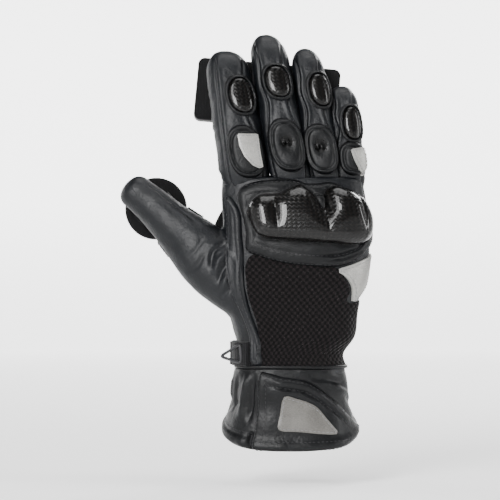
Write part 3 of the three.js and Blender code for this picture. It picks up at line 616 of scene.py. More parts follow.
def carbonMaterial(tow):
    # twill carbon fibre under clear lacquer: two sets of tows, drawn diagonally, that shine differently; the tows'
    # two tones are a painted sheen, and the low places between tows are darkened as painted shade
    material, tree, shader = startMaterial("lacqueredCarbonTwill", {
        "Roughness": 0.3, "Specular IOR Level": 0.13, "Coat Weight": 1.0, "Coat Roughness": 0.03, "Coat IOR": 1.26,
    })
    turned = addNode(tree, "ShaderNodeMapping", {"Rotation": (0, 0, math.radians(45))},
                     {"Vector": flatSpace(tree, tow)}).outputs["Vector"]
    checker = addNode(tree, "ShaderNodeTexChecker", {"Scale": 1.0, "Color1": (1, 1, 1, 1), "Color2": (0, 0, 0, 1)},
                      {"Vector": turned}).outputs["Fac"]
    waves = [mathNode(tree, "ABSOLUTE", sine(tree, apart(tree, turned)[axis], math.pi)) for axis in ("X", "Y")]
    height = addNode(tree, "ShaderNodeMix", {"data_type": "FLOAT"}, {0: checker, 2: waves[0], 3: waves[1]}).outputs[0]
    tone = ramp(tree, checker, [(0.45, hexColor("#020202")), (0.55, hexColor("#0a0807"))])
    gapShade = ramp(tree, height, [(0.0, (0.15, 0.15, 0.15, 1)), (0.5, (1, 1, 1, 1))])
    settings = {"data_type": "RGBA", "blend_type": "MULTIPLY", 0: 0.6}
    shade = addNode(tree, "ShaderNodeMix", settings, {6: tone, 7: gapShade})
    tree.links.new(shade.outputs[2], shader.inputs["Base Color"])
    bumps(tree, shader, (height, 0.6, 0.3))
    return material


def knitMaterial(pitch):
    # warp-knitted mesh: rows of small diamond holes, two to a pitch, soft and lightless; the holes are painted darker
    # than the threads, for the dark layer behind them and as painted shade in them
    material, tree, shader = startMaterial("warpKnitMesh", {
        "Roughness": 0.85, "Sheen Weight": 0.06, "Sheen Roughness": 0.4, "Specular IOR Level": 0.12,
    })
    place = apart(tree, flatSpace(tree, pitch))
    holes = mathNode(tree, "MULTIPLY", sine(tree, place["X"], 2 * math.pi), sine(tree, place["Y"], 2 * math.pi))
    even = addNode(tree, "ShaderNodeMapRange", {"From Min": -0.6, "From Max": 0.7}, {"Value": holes})
    height = even.outputs["Result"]
    tint(tree, shader, height, (0.25, "#020202"), (0.75, "#161213"))
    bumps(tree, shader, (height, 0.9, 0.9), (noise(tree, 900), 0.4, 0.3))
    return material


def reflectiveMaterial(name, tone, deep):
    # glass-bead reflective cloth: silver grey, finely speckled, a little cloudy
    material, tree, shader = startMaterial(name, {"Metallic": 0.25, "Roughness": 0.42, "Specular IOR Level": 0.5})
    speck, cloud = noise(tree, 1500), noise(tree, 90, 4)
    tint(tree, shader, blend(tree, speck, cloud, 0.5), (0.3, deep), (0.65, tone))
    bumps(tree, shader, (speck, 0.3, 0.12), (cloud, 0.3, 0.6))
    return material


def webbingMaterial(name, tone, rib):
    # woven nylon webbing and hook fastener: fine ribs, dull and black
    material, tree, shader = startMaterial(name, {"Roughness": 0.8, "Sheen Weight": 0.08, "Specular IOR Level": 0.15})
    wave = addNode(tree, "ShaderNodeTexWave", {"Scale": 0.314 / (rib * metre), "Distortion": 0.4},
                   {"Vector": objectSpace(tree)})
    both = mathNode(tree, "ADD", mathNode(tree, "MULTIPLY", wave.outputs["Fac"], 0.5), noise(tree, 1400))
    tint(tree, shader, both, (0.4, "#040405"), (1.0, tone))
    bumps(tree, shader, (both, 0.6, 0.4))
    return material


def plasticMaterial(name, tone, deep, roughness, glint, turned=True):
    # slide plastic: a soft bloom and small knocks, and faint rings where it was turned on a lathe
    material, tree, shader = startMaterial(name, {"Roughness": roughness, "Specular IOR Level": glint})
    bloom, speck = noise(tree, 60, 5, Roughness=0.65), noise(tree, 1100)
    tint(tree, shader, blend(tree, bloom, speck, 0.75), (0.35, deep), (0.65, tone))
    shine(tree, shader, bloom, roughness - 0.08, roughness + 0.08)
    layers = [(speck, 0.2, 0.15)]
    if turned:
        rings = addNode(tree, "ShaderNodeTexNoise", {"noise_dimensions": "1D", "Scale": 180, "Detail": 2},
                        {"W": apart(tree, flatSpace(tree))["X"]})
        layers.append((rings.outputs["Fac"], 0.25, 0.25))
    bumps(tree, shader, *layers)
    return material


def plainMaterial(name, tone, roughness):
    # lining cloth, thread and cord: one tone, finely uneven
    material, tree, shader = startMaterial(name, {"Base Color": hexColor(tone), "Roughness": roughness})
    bumps(tree, shader, (noise(tree, 500), 0.15, 0.2))
    return material


gloveLeather = leatherMaterial("fullGrainGloveLeather", "#05070a", "#0b0d11", 0.43, 0.27)
padLeather = leatherMaterial("nappaOverFoam", "#040506", "#08090b", 0.42, 0.21, 1.2, 3.0)
# glossier leather for the hollows in the lower pads, near black as painted shade
shadedHollowLeather = leatherMaterial("polishedLeatherPaintedShade", "#000000", "#010101", 0.27, 0.2, 1.2, 5.0)
cuffLeather = leatherMaterial("cuffLeather", "#040506", "#0a0b0d", 0.4, 0.22, 1.6, 7.0)
innerCloth = plainMaterial("brushedLiningCloth", "#151517", 0.95)
carbon = carbonMaterial(1.8)
knit = knitMaterial(4.4)
reflective = reflectiveMaterial("glassBeadReflective", "#9b9a96", "#6f6e6b")
cuffReflective = reflectiveMaterial("glassBeadReflectiveDark", "#64625e", "#454340")
webbing = webbingMaterial("nylonWebbing", "#141416", 1.2)
hookPad = webbingMaterial("hookFastener", "#0f0f11", 0.9)
# black hook fastener under the pucks and the bar, also painted shade on their undersides
shadedBacking = webbingMaterial("hookBackingPaintedShade", "#060607", 1.0)
puckPlastic = plasticMaterial("turnedSlidePlastic", "#1d1c1e", "#171618", 0.46, 0.32)
# glossier plastic for the pucks' bevels, its lighter tone a painted highlight
bevelHighlightPlastic = plasticMaterial("polishedBevelPaintedHighlight", "#39373a", "#2f2e30", 0.24, 0.8)
barPlastic = plasticMaterial("milledSlidePlastic", "#060507", "#030304", 0.36, 0.1, False)
thread = plainMaterial("bondedNylonThread", "#17171a", 0.6)
paleThread = plainMaterial("paleThread", "#6f7072", 0.6)
cord = plainMaterial("coatedPullCord", "#1b1b1e", 0.45)
print("materials ready")


def ready(item, slotName, *nodes, pad=None):
    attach(item, "root")
    if nodes:
        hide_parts(*nodes)


def lay(node, slotName, name, outline, surface, height, cell, material, palm=False, pad=None):
    ready(patch(name, outline, surface, height, cell, material, palm), slotName, node, pad=pad)


# Fingers

fingerLook = {"around": 150, "rows": 166, "tipRows": 44, "seamDepth": 1.0, "seamWidth": 0.8, "welt": 0.75}
# the back panel of a finger: half its width as a share of the finger's, wide at the pads, narrow between
fingerPanel = {
    "at": [0.0, 0.1, 0.25, 0.38, 0.52, 0.66, 0.8, 0.92, 1.0],
    "half": [0.76, 0.8, 0.86, 0.66, 0.52, 0.72, 0.62, 0.7, 0.72],
    "straight": [0.66, 0.65, 0.64, 0.62, 0.6, 0.58, 0.56, 0.55, 0.55],
}
# creases at the joints, on the palm side and the flanks: share of the length, depth in mm
fingerCreases = ((0.02, 1.1), (0.36, 0.9), (0.42, 0.6), (0.62, 0.7), (0.69, 0.5))


def panelShare(name, side, at):
    return side * spline(fingerPanel, "straight" if name == "index" and side < 0 else "half", at)


def makeFinger(name):
    f = fingers[name]
    surface = fingerForms[name]
    tipRows = 0.78 + 0.22 * np.sin(np.linspace(0.03, 1, fingerLook["tipRows"]) * math.pi / 2)
    ats = np.concatenate([np.linspace(-0.13, 0.78, fingerLook["rows"]), tipRows])
    turn, at = np.meshgrid(fullTurn(fingerLook["around"]), ats)
    base = surface(turn, at)
    flat = base.reshape(-1, 3)
    lift = (0.18 * ripple(flat, 18, 11) + 0.06 * ripple(flat, 7, 12)).reshape(turn.shape)
    # a seam at each side of the back panel, between low welts
    halfWidth = spline(fingerRows, "width", at) * f["width"] / 2
    x = base[..., 0] - (f["rootX"] + (f["tipX"] - f["rootX"]) * at)
    onBack = (np.sin(turn) < 0) * clamp((0.97 - at) / 0.1)
    for side in (-1, 1):
        d = x - panelShare(name, side, at) * halfWidth
        deep = fingerLook["seamDepth"] * bump(d, fingerLook["seamWidth"])
        welt = fingerLook["welt"] * (0.2 * bump(d * side - 1.9, 1.1) + bump(d * side + 2.0, 1.4))
        lift += (welt - deep) * onBack
    onPalm = clamp(np.sin(turn) + 0.5)
    for place, depth in fingerCreases:
        d = (at - place - 0.012 * np.sin(3 * turn + 9 * place)) * f["length"]
        lift -= depth * (bump(d, 1.5) - 0.5 * bump(d - 3.2, 2.0)) * onPalm
    points, faces = closedLoft(surface(turn, at, lift))
    item = makeMesh(f"{name}_finger_leather", points, faces, gloveLeather, None, 0)
    ready(item, "glove_leather", f"{name}_finger")


for name in fingers:
    makeFinger(name)
print("fingers made")


# Hand and thumb, merged so that the thumb's root flows into the palm

handLook = {
    "around": 120, "rows": 90, "thumbAround": 90, "thumbRows": 140, "voxel": 1.15, "smooth": 9, "thickness": 1.6,
}
# folds of the leather: where they run, how high (below zero: how deep) and how wide.
# thumb: points as shares of its half width and of its length. hand: points as x, z in millimetres.
handFolds = [
    {"thumb": [(-0.15, 0.86), (0.3, 0.8), (0.75, 0.82)], "size": -1.5, "width": 1.7},
    {"thumb": [(-0.25, 0.92), (0.25, 0.87), (0.8, 0.9)], "size": 1.4, "width": 2.0},
    {"thumb": [(-0.35, 0.97), (0.15, 0.93), (0.7, 0.97)], "size": -1.3, "width": 1.6},
    {"thumb": [(-0.5, 1.02), (0.0, 0.99), (0.55, 1.04)], "size": 1.2, "width": 2.0},
    {"thumb": [(-0.7, 1.04), (-0.2, 1.06), (0.3, 1.1)], "size": -1.1, "width": 1.6},
    {"thumb": [(-0.8, 0.75), (-0.4, 0.78), (0.1, 0.76)], "size": -0.7, "width": 1.6},
    {"thumb": [(-0.5, 0.68), (0.0, 0.7), (0.5, 0.67)], "size": -0.6, "width": 1.5},
    {"thumb": [(0.72, 0.02), (0.78, 0.2), (0.74, 0.45), (0.66, 0.62)], "size": -0.8, "width": 0.9},
    {"thumb": [(0.6, 0.04), (0.62, 0.2), (0.58, 0.45), (0.5, 0.62)], "size": 0.5, "width": 1.1},
    {"hand": [(-40, 96), (-38, 110), (-40, 124)], "size": -0.9, "width": 1.6},
    {"hand": [(-41, 62), (-39, 74), (-41, 88)], "size": 0.9, "width": 2.0},
]
# where the layers on the back begin at the thumb's side, as shares of the length and the half width
layerEdge = {
    "at": [0.0, 0.1, 0.2, 0.3, 0.395, 0.52, 0.95, 1.0],
    "share": [-0.71, -0.74, -0.78, -0.82, -0.89, -0.93, -0.93, -1.3],
}


def evaluated(item, name):
    graph = bpy.context.evaluated_depsgraph_get()
    mesh = bpy.data.meshes.new_from_object(item.evaluated_get(graph))
    mesh.name = name
    bpy.data.objects.remove(item)
    return mesh


def handFold(path):
    p = smoothOpen(path)
    at = (p[:, 1] - wristZ) / glove["handLength"]
    x = p[:, 0] - spline(handRows, "shift", at) * glove["handShift"]
    aside = clamp(np.abs(x) / (spline(handRows, "width", at) * glove["handHalfWidth"]))
    return handSurface(back + np.sign(x) * np.arcsin(aside ** 1.3), at)


def thumbFold(path):
    p = smoothOpen(path)
    aside = clamp(np.abs(p[:, 0]))
    return thumbSurface(back + np.sign(p[:, 0]) * np.arcsin(aside ** 1.1), p[:, 1])


def roughHand():
    points, faces = closedLoft(gridOf(handSurface, handLook["around"], np.linspace(-0.1, 1.0, handLook["rows"])))
    # from the tip to deep inside the palm, closer at the tip
    ats = -0.02 + 1.32 * np.linspace(0, 1, handLook["thumbRows"]) ** 1.6
    thumbPoints, thumbFaces = closedLoft(gridOf(thumbSurface, handLook["thumbAround"], ats[::-1]))
    faces += [tuple(i + len(points) for i in f) for f in thumbFaces]
    rough = makeMesh("handRough", np.vstack([points, thumbPoints]), faces, None, None, 0)
    remesh = rough.modifiers.new("even", "REMESH")
    remesh.mode = "VOXEL"
    remesh.voxel_size = handLook["voxel"] * metre
    remesh.use_smooth_shade = True
    relax = rough.modifiers.new("relax", "SMOOTH")
    relax.factor = 0.5
    relax.iterations = handLook["smooth"]
    return evaluated(rough, "hand_leather")


def foldHand(mesh):
    places = readAll(mesh.vertices, "co", 3) / metre
    normals = readAll(mesh.vertices, "normal", 3)
    lift = 0.22 * ripple(places, 24, 1) + 0.07 * ripple(places, 9, 2)
    for fold in handFolds:
        path = thumbFold(fold["thumb"]) if "thumb" in fold else handFold(fold["hand"])
        d, _, along = nearest(places, path)
        lift += fold["size"] * bump(d, fold["width"]) * clamp(np.minimum(along, 1 - along) * 5)
    # under the layers on the back it stays even
    share = (places[:, 2] - wristZ) / glove["handLength"]
    edge = glove["handShift"] + glove["handHalfWidth"] * np.interp(share, layerEdge["at"], layerEdge["share"])
    under = np.where(places[:, 1] < 0, clamp((places[:, 0] - edge) / 3.0), 0)
    lift = lift * (1 - under) - 0.5 * under
    mesh.vertices.foreach_set("co", ((places + normals * lift[:, None]) * metre).ravel())


def openBelow(mesh, height):
    cutter = bmesh.new()
    cutter.from_mesh(mesh)
    cutter.normal_update()
    geometry = [*cutter.verts, *cutter.edges, *cutter.faces]
    bmesh.ops.bisect_plane(cutter, geom=geometry, plane_co=(0, 0, height * metre), plane_no=(0, 0, -1),
                           clear_outer=True)
    cutter.to_mesh(mesh)
    cutter.free()


def makeHand():
    mesh = roughHand()
    foldHand(mesh)
    openBelow(mesh, wristZ - 3.0)
    item = addObject("hand_leather", mesh)
    mesh.materials.clear()
    mesh.materials.append(gloveLeather)
    mesh.materials.append(innerCloth)
    wall = item.modifiers.new("wall", "SOLIDIFY")
    wall.thickness = handLook["thickness"] * metre
    wall.offset = -1
    wall.material_offset = 1
    final = evaluated(item, "hand_leather")
    final.shade_smooth()
    ready(addObject("hand_leather", final), "glove_leather", "back_shell", "palm_shell", "thumb_shell")


makeHand()
print("hand made")


# Layers on the back of the hand: outlines as shares of its half width and of its length

guardFlat = smoothClosed(onHand([
    (-0.6, 0.77), (-0.5, 0.702), (-0.42, 0.683), (-0.29, 0.67), (0.03, 0.658), (0.35, 0.652),
    (0.59, 0.642), (0.75, 0.645), (0.87, 0.664), (0.93, 0.695), (0.96, 0.752), (0.96, 0.802),
    (0.92, 0.852), (0.86, 0.898), (0.79, 0.908), (0.67, 0.939), (0.53, 0.952), (0.4, 0.92),
    (0.35, 0.835), (0.26, 0.91), (0.11, 0.958), (-0.05, 0.945), (-0.19, 0.914), (-0.42, 0.908),
    (-0.56, 0.87), (-0.62, 0.82),
]))
surroundFlat = smoothClosed(onHand([
    (-0.72, 0.78), (-0.68, 0.7), (-0.67, 0.62), (-0.53, 0.589), (-0.29, 0.558), (-0.05, 0.539),
    (0.19, 0.53), (0.43, 0.527), (0.59, 0.533), (0.74, 0.552), (0.86, 0.577), (0.93, 0.614),
    (1.0, 0.677), (1.03, 0.78), (0.98, 0.87), (0.87, 0.92), (0.75, 0.939), (0.54, 0.97),
    (0.35, 0.964), (0.19, 0.964), (0.0, 0.985), (-0.29, 0.983), (-0.61, 0.965), (-0.76, 0.92),
]))
stripFlat = smoothClosed(onHand([
    (-0.93, 0.895), (-0.93, 0.677), (-0.93, 0.52), (-0.89, 0.395), (-0.82, 0.302), (-0.78, 0.208),
    (-0.74, 0.1), (-0.71, 0.03), (-0.52, 0.025), (-0.54, 0.1), (-0.6, 0.17), (-0.65, 0.239),
    (-0.69, 0.333), (-0.72, 0.427), (-0.71, 0.52), (-0.71, 0.614), (-0.745, 0.708), (-0.78, 0.833),
]), 5)
meshFlat = smoothClosed(onHand([
    (-0.66, 0.55), (-0.67, 0.427), (-0.64, 0.333), (-0.6, 0.239), (-0.6, 0.164), (-0.56, 0.07),
    (-0.53, 0.015), (0.0, 0.005), (0.6, 0.005), (1.1, 0.01), (1.25, 0.06), (1.25, 0.34), (0.85, 0.34),
    (0.8, 0.4), (0.7, 0.46), (0.57, 0.52), (0.3, 0.54), (0.05, 0.55), (-0.29, 0.57), (-0.53, 0.6),
]), 4)
wedgeFlat = smoothClosed(onHand([
    (0.56, 0.512), (0.75, 0.54), (0.9, 0.565), (1.04, 0.6), (1.06, 0.52), (1.0, 0.44), (0.93, 0.35),
    (0.895, 0.342), (0.82, 0.42), (0.7, 0.475),
]), 3)
guardLook = {"seat": 2.4, "rim": 1.8, "dome": 9.8, "cell": 0.65, "crest": 0.79, "high": 0.2}
# valleys between the four lobes: share of the half width at the top and the bottom, depth, width in mm
guardValleys = [
    {"top": -0.24, "low": -0.2, "deep": 0.34, "wide": 3.4},
    {"top": 0.35, "low": 0.33, "deep": 0.62, "wide": 4.2},
    {"top": 0.79, "low": 0.74, "deep": 0.4, "wide": 3.2},
]


def guardHeight(distance, u, v):
    share = (v - wristZ) / glove["handLength"]
    fromCrest = (share - guardLook["crest"]) / guardLook["high"]
    crown = clamp(1 - np.abs(fromCrest) ** 2.6) ** 0.6
    ends = clamp((u - handShare(-0.62)) / 16) * clamp((handShare(1.08) - u) / 20)
    crown = crown * np.sin(ends * math.pi / 2) ** 0.7
    # each valley is deep above the crest and dies out towards the bottom
    upper = 1 / (1 + np.exp(-(share - 0.775) / 0.028))
    for valley in guardValleys:
        middle = handShare(valley["low"] + (valley["top"] - valley["low"]) * clamp((share - 0.66) / 0.26))
        cut = np.exp(-np.abs(u - middle) / valley["wide"])
        crown = crown * (1 - valley["deep"] * cut * (0.18 + 0.82 * upper))
    side = 0.12 + 0.88 * clamp((handShare(0.97) - u) / (handShare(0.97) - handShare(0.76))) ** 0.8
    high = guardLook["rim"] * rounded(distance, 1.6) + guardLook["dome"] * crown * rounded(distance, 9.0)
    return guardLook["seat"] * (0.4 + 0.6 * side) + side * high


def surroundHeight(distance, u, v):
    # a padded roll at the outer edge, a step down to a channel round the guard
    toGuard = toOutline(stack(u, v), guardFlat)
    near = clamp(toGuard / 1.6)
    # two folds where the roll bends round at the little finger
    right = clamp((u - handShare(0.2)) / 12)
    roll = 4.4 * rounded(distance, 6.5) - (0.4 + 1.0 * right) * bump(distance - 8.2, 0.9)
    roll = roll - 0.9 * right * bump(distance - 5.0, 0.8)
    side = 1 - 0.6 * clamp((u - handShare(0.84)) / 10)
    return side * roll * (0.86 + 0.14 * near) + 0.25 * flatRipple(u, v, 14, 5)


def stripHeight(distance, u, v):
    # a seam fold down its middle, and a loose fold beside the pull loop's tab
    low = clamp((wristZ + 24 - v) / 8)
    fold = 2.4 * low * bump(u - handShare(-0.555), 1.3) * clamp(distance / 1.2)
    return 0.7 + 1.3 * rounded(distance, 2.8) - 0.35 * bump(distance - 3.6, 0.8) + fold


def meshHeight(distance, u, v):
    return 0.6 + 0.35 * rounded(distance, 3.0) + 0.25 * flatRipple(u, v, 18, 8)


wedgeHeight = rolled(0.9, 0.4, 1.0)

lay("knuckle_guard", "carbon_gloss", "knuckle_guard_shell", guardFlat, handLayer,
    guardHeight, guardLook["cell"], carbon)
lay("knuckle_surround", "pad_leather", "knuckle_surround_pad", surroundFlat, handLayer,
    surroundHeight, 0.9, padLeather, pad=0.8)
lay("index_side_strip", "glove_leather", "index_side_strip_leather", stripFlat, handLayer,
    stripHeight, 0.7, gloveLeather)
lay("side_reflector", "reflective_cloth", "side_reflector_cloth", wedgeFlat, handLayer,
    wedgeHeight, 0.9, reflective)
lay("back_mesh_panel", "knit_mesh", "back_mesh_knit", meshFlat, handLayer, meshHeight, 0.9, knit)
print("back of the hand made")


# Armour pads on the fingers

# at and high: the middle and half height as shares of the finger's length. aside, wide: across, of its width
upperPads = {
    "index": {"at": 0.655, "aside": 0.18, "high": 0.162, "wide": 0.315},
    "middle": {"at": 0.67, "aside": 0.09, "high": 0.13, "wide": 0.36},
    "ring": {"at": 0.68, "aside": 0.22, "high": 0.15, "wide": 0.37},
    "little": {"at": 0.59, "aside": 0.2, "high": 0.215, "wide": 0.37},
}
lowerPads = {
    "index": {"at": 0.2, "aside": 0.09, "high": 0.215, "wide": 0.36},
    "middle": {"at": 0.22, "aside": 0.03, "high": 0.19, "wide": 0.4},
    "ring": {"at": 0.215, "aside": -0.02, "high": 0.2, "wide": 0.43},
    "little": {"at": 0.2, "aside": 0.12, "high": 0.19, "wide": 0.4},
}
padLook = {"height": 2.9, "rim": 2.5, "shell": 4.4, "shellEdge": 2.5, "cell": 0.5}
# polished: how far round the dent, in mm, the hollow's faces take the glossy leather darkened as painted shade
lowerLook = {"rim": 3.5, "seam": 1.1, "hollow": 2.6, "dent": 1.6, "polished": 4.7}
dentedPads = ("middle", "ring")


def padOutline(name, row, margin=0.0, roundness=2.3):
    f = fingers[name]
    turn = fullTurn(72)
    u, v = section(turn, row["wide"] * f["width"] - margin, row["high"] * f["length"] - 0.8 * margin, roundness)
    return stack(u + row["aside"] * f["width"], v + row["at"] * f["length"])


def lowerOutline(name):
    return padOutline(name, lowerPads[name], 0.0, 2.4)


def makeUpperPad(name):
    row = upperPads[name]
    rim = padLook["rim"]
    inner = padOutline(name, row, rim)

    def ringHeight(distance, u, v):
        points = stack(u, v)
        toShell = toOutline(points, inner)
        swell = padLook["height"] * np.sqrt(clamp(1 - (np.abs(distance - rim * 0.55) / (0.75 * rim)) ** 2))
        return np.where(insideOutline(points, inner), 0.8, 0.5 + swell * np.clip(toShell / 0.5, 0.8, 1))

    def shellHeight(distance, u, v):
        inwards = distance / (row["wide"] * fingers[name]["width"] - rim)
        return padLook["shellEdge"] + (padLook["shell"] - padLook["shellEdge"]) * rounded(inwards, 0.9)

    layer = fingerLayer(name)
    lay(f"{name}_upper_pad", "pad_leather", f"{name}_upper_pad_ring", padOutline(name, row), layer,
        ringHeight, padLook["cell"], padLeather, pad=0.8)
    lay(f"{name}_upper_shell", "gloss_insert", f"{name}_upper_gloss_shell", inner, layer,
        shellHeight, padLook["cell"], carbon)


def makeLowerPad(name):
    row, f, layer = lowerPads[name], fingers[name], fingerLayer(name)
    dentU, dentV = row["aside"] * f["width"] + 0.2, row["at"] * f["length"] + 2.0

    def height(distance, u, v):
        # a rolled rim, a seam inside it and a hollow with a dent
        swell = 0.3 + lowerLook["rim"] * rounded(distance, 3.0) - lowerLook["seam"] * bump(distance - 3.6, 0.8)
        if name in dentedPads:
            spot = np.hypot(u - dentU, (v - dentV) / 1.6)
            hollow = lowerLook["hollow"] * bump(spot, 3.5) + lowerLook["dent"] * bump(spot, 1.6)
            swell = np.maximum(swell + 0.6 * rounded(distance, 4.0) - hollow, 0.4)
        return swell

    item = patch(f"{name}_lower_pad_leather", lowerOutline(name), layer, height, padLook["cell"], padLeather)
    if name in dentedPads:  # the hollow gets darker, glossier leather: its dark tone is painted shade
        item.data.materials.append(shadedHollowLeather)
        middle = Vector(layer(np.array([dentU]), np.array([dentV]), np.array([1.5]))[0] * metre)
        for face in item.data.polygons:
            if (face.center - middle).length < metre * lowerLook["polished"]:
                face.material_index = 1
    ready(item, "pad_leather", f"{name}_lower_pad", pad=0.75)


for name in fingers:
    makeUpperPad(name)
    makeLowerPad(name)

# grey patches: x as a share of the finger's width from its middle, z as a share of its length
patchShapes = {
    "index": [(-0.02, 0.342), (0.32, 0.342), (0.31, 0.2), (0.31, 0.05), (0.15, 0.085), (0.04, 0.155), (-0.015, 0.24)],
    "little": [(0.06, 0.3), (0.45, 0.33), (0.52, 0.2), (0.5, 0.06), (0.38, -0.02), (0.22, 0.07), (0.12, 0.18)],
}


def patchHeight(name):
    # on top of the lower pad, and down at its side where the patch runs past it
    pad = lowerOutline(name)

    def height(distance, u, v):
        points = stack(u, v)
        gap = toOutline(points, pad)
        within = np.where(insideOutline(points, pad), gap, 0)
        return 1.1 + lowerLook["rim"] * rounded(within, 2.4) + 0.3 * rounded(distance, 1.0)
    return height


def patchFlat(name):
    f = fingers[name]
    corners = np.array([(x * f["width"], z * f["length"]) for x, z in patchShapes[name]])
    steps = np.linspace(0, 1, 6, endpoint=False)[:, None]
    return np.vstack([a + (b - a) * t for a, b in zip(corners, np.roll(corners, -1, axis=0)) for t in steps])


for name in patchShapes:
    lay(f"{name}_reflector", "reflective_cloth", f"{name}_reflector_cloth", patchFlat(name), fingerLayer(name),
        patchHeight(name), 0.7, reflective)
print("finger pads made")


# Cuff

cuffLook = {"around": 260, "rows": 120, "wall": 2.0}
# folds in the cuff: turn in degrees and height where they start and end, how high and how wide
cuffFolds = [
    {"from": (226, 41), "to": (216, 9), "size": 1.6, "width": 2.6},
    {"from": (236, 41), "to": (232, 6), "size": -1.7, "width": 1.9},
    {"from": (208, 40), "to": (200, 12), "size": -1.3, "width": 2.0},
    {"from": (190, 39), "to": (186, 22), "size": 1.2, "width": 2.2},
    {"from": (215, 22), "to": (180, 15), "size": -0.9, "width": 1.8},
    {"from": (285, 38), "to": (350, 30), "size": -1.5, "width": 2.2},
    {"from": (310, 32), "to": (365, 20), "size": 1.3, "width": 2.4},
    {"from": (330, 28), "to": (380, 12), "size": -1.5, "width": 2.0},
    {"from": (20, 36), "to": (80, 30), "size": -1.3, "width": 2.0},
    {"from": (60, 26), "to": (120, 34), "size": -1.2, "width": 1.8},
    {"from": (100, 20), "to": (160, 28), "size": -1.4, "width": 2.2},
    {"from": (40, 22), "to": (95, 16), "size": 1.2, "width": 2.6},
    {"from": (110, 36), "to": (170, 38), "size": -1.2, "width": 1.7},
]


def makeCuff():
    turns = fullTurn(cuffLook["around"])
    turn, at = np.meshgrid(turns, np.linspace(0.0, 1.0, cuffLook["rows"]))
    flat = cuffSurface(turn, at).reshape(-1, 3)
    lift = 0.3 * ripple(flat, 24, 31) + 0.08 * ripple(flat, 9, 32)
    for fold in cuffFolds:
        t = np.linspace(0, 1, 16)
        pathTurn = np.radians(fold["from"][0] + (fold["to"][0] - fold["from"][0]) * t)
        pathZ = fold["from"][1] + (fold["to"][1] - fold["from"][1]) * t + 1.2 * np.sin(math.pi * t)
        d, _, along = nearest(flat, cuffSurface(pathTurn, cuffAt(pathTurn, pathZ)))
        lift += fold["size"] * bump(d, fold["width"]) * clamp(np.minimum(along, 1 - along) * 4)
    lift = lift.reshape(turn.shape) * clamp((at - 0.17) / 0.06)
    # rolled hem with its stitching channel, and the notch where it laps over itself
    lift += -0.5 * bump((at - 0.17) * glove["cuffLength"], 0.9)
    notch = bump((turn - math.radians(238)) * 34, 1.3) * clamp((0.24 - at) / 0.05)
    lap = bump((turn - math.radians(235)) * 34 + 4, 3.5) * clamp((0.22 - at) / 0.05)
    lift += 0.9 * lap - 2.4 * notch
    outside = cuffSurface(turn, at, lift)
    inside = cuffSurface(turn, at, -cuffLook["wall"])
    rims = []
    for row, drop in ((slice(0, 1), -0.9), (slice(-1, None), 0.7)):
        rim = cuffSurface(turn[row], at[row], np.full_like(turn[row], -0.9))
        rim[..., 2] += drop
        rims.append(rim)
    rings = np.concatenate([rims[0], outside, rims[1], inside[::-1]])
    rows, columns = rings.shape[:2]
    item = makeMesh("cuff_leather", rings.reshape(-1, 3), ringFaces(rows, columns), cuffLeather, None, 0)
    item.data.materials.append(innerCloth)
    inner = np.zeros(len(item.data.polygons), int)
    inner[(len(outside) + 2) * columns:] = 1
    item.data.polygons.foreach_set("material_index", inner)
    ready(item, "glove_leather", "cuff_gauntlet")


makeCuff()

# outlines as shares of the mouth's half width and of the cuff's length
flapFlat = smoothClosed(onCuff([
    (-0.53, 0.93), (-0.41, 0.95), (-0.14, 0.893), (0.12, 0.856), (0.3, 0.819), (0.48, 0.726),
    (0.66, 0.595), (0.84, 0.447), (0.96, 0.26), (1.08, 0.06), (1.1, -0.12), (0.98, -0.215), (0.7, -0.235),
    (0.3, -0.25), (0.0, -0.25), (-0.3, -0.25), (-0.54, -0.22), (-0.55, 0.1), (-0.55, 0.5),
]), 5)
flapPatchFlat = smoothClosed(onCuff([
    (-0.1, 0.595), (0.12, 0.558), (0.3, 0.502), (0.43, 0.428), (0.53, 0.298), (0.62, 0.167),
    (0.69, 0.056), (0.64, 0.03), (0.48, 0.037), (0.12, 0.074), (-0.17, 0.102), (-0.16, 0.316),
]), 3)


def flapHeight(distance, u, v):
    # a rolled edge, and a padded border between two seams
    border = np.clip((u - cuffShare(-0.42)) / 12, 0.15, 1) * clamp((v - 4) / 6)
    channels = 0.7 * bump(distance - 4.2, 2.2) - 1.4 * bump(distance - 7.6, 1.0) - 0.5 * bump(distance - 1.9, 0.6)
    slack = 0.3 * flatRipple(u, v, 18, 41) * clamp(distance / 5)
    padded = 2.3 * rounded(distance, 3.6) + 0.4 + border * channels + slack
    return padded * (1 - 0.65 * clamp((u - cuffShare(0.72)) / 14))


flapPatchHeight = rolled(3.3, 0.4, 1.2)

lay("cuff_flap", "pad_leather", "cuff_flap_leather", flapFlat, cuffLayer, flapHeight, 0.8, cuffLeather, pad=0.5)
lay("flap_reflector", "cuff_reflective", "flap_reflector_cloth", flapPatchFlat, cuffLayer,
    flapPatchHeight, 0.8, cuffReflective)
print("cuff made")


# Pucks and bar

# radius of the puck and of its flat face, height where the bevel begins, and the lean of the facing
puckLook = {
    "palm": {"radius": 54, "face": 47, "edge": 4, "lean": math.radians(3)},
    "thumb": {"radius": 21.2, "face": 16.2, "edge": 3, "lean": math.radians(5)},
}
puckColumns = 160
barLook = {
    "width": 97, "height": 43, "corner": 4.5, "edge": 1.0, "face": 3.5,
    "roll": math.radians(5.2), "pitch": math.radians(9),
}


def nodePoints(name):
    world = np.array(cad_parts[name].matrix_world)
    points = readAll(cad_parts[name].data.vertices, "co", 3)
    return (points @ world[:3, :3].T + world[:3, 3]) / metre


def seatOf(name, facing):
    # middle of the side that lies on the glove, and the thickness
    points = nodePoints(name)
    along = points @ unit(facing)
    return points[along < along.min() + 0.05].mean(axis=0), along.max() - along.min()


def addShadedBacking(item, facing, bevel=None):
    # the side on the glove is black hook fastener, and its black is also painted shade under the puck
    item.data.materials.append(shadedBacking)
    # the bevel's faces take the lighter plastic, a painted highlight
    if bevel:
        item.data.materials.append(bevel)
    for face in item.data.polygons:
        turned = face.normal.dot(Vector(facing))
        if turned < -0.5:
            face.material_index = 1
        elif bevel and turned < 0.97:
            face.material_index = 2


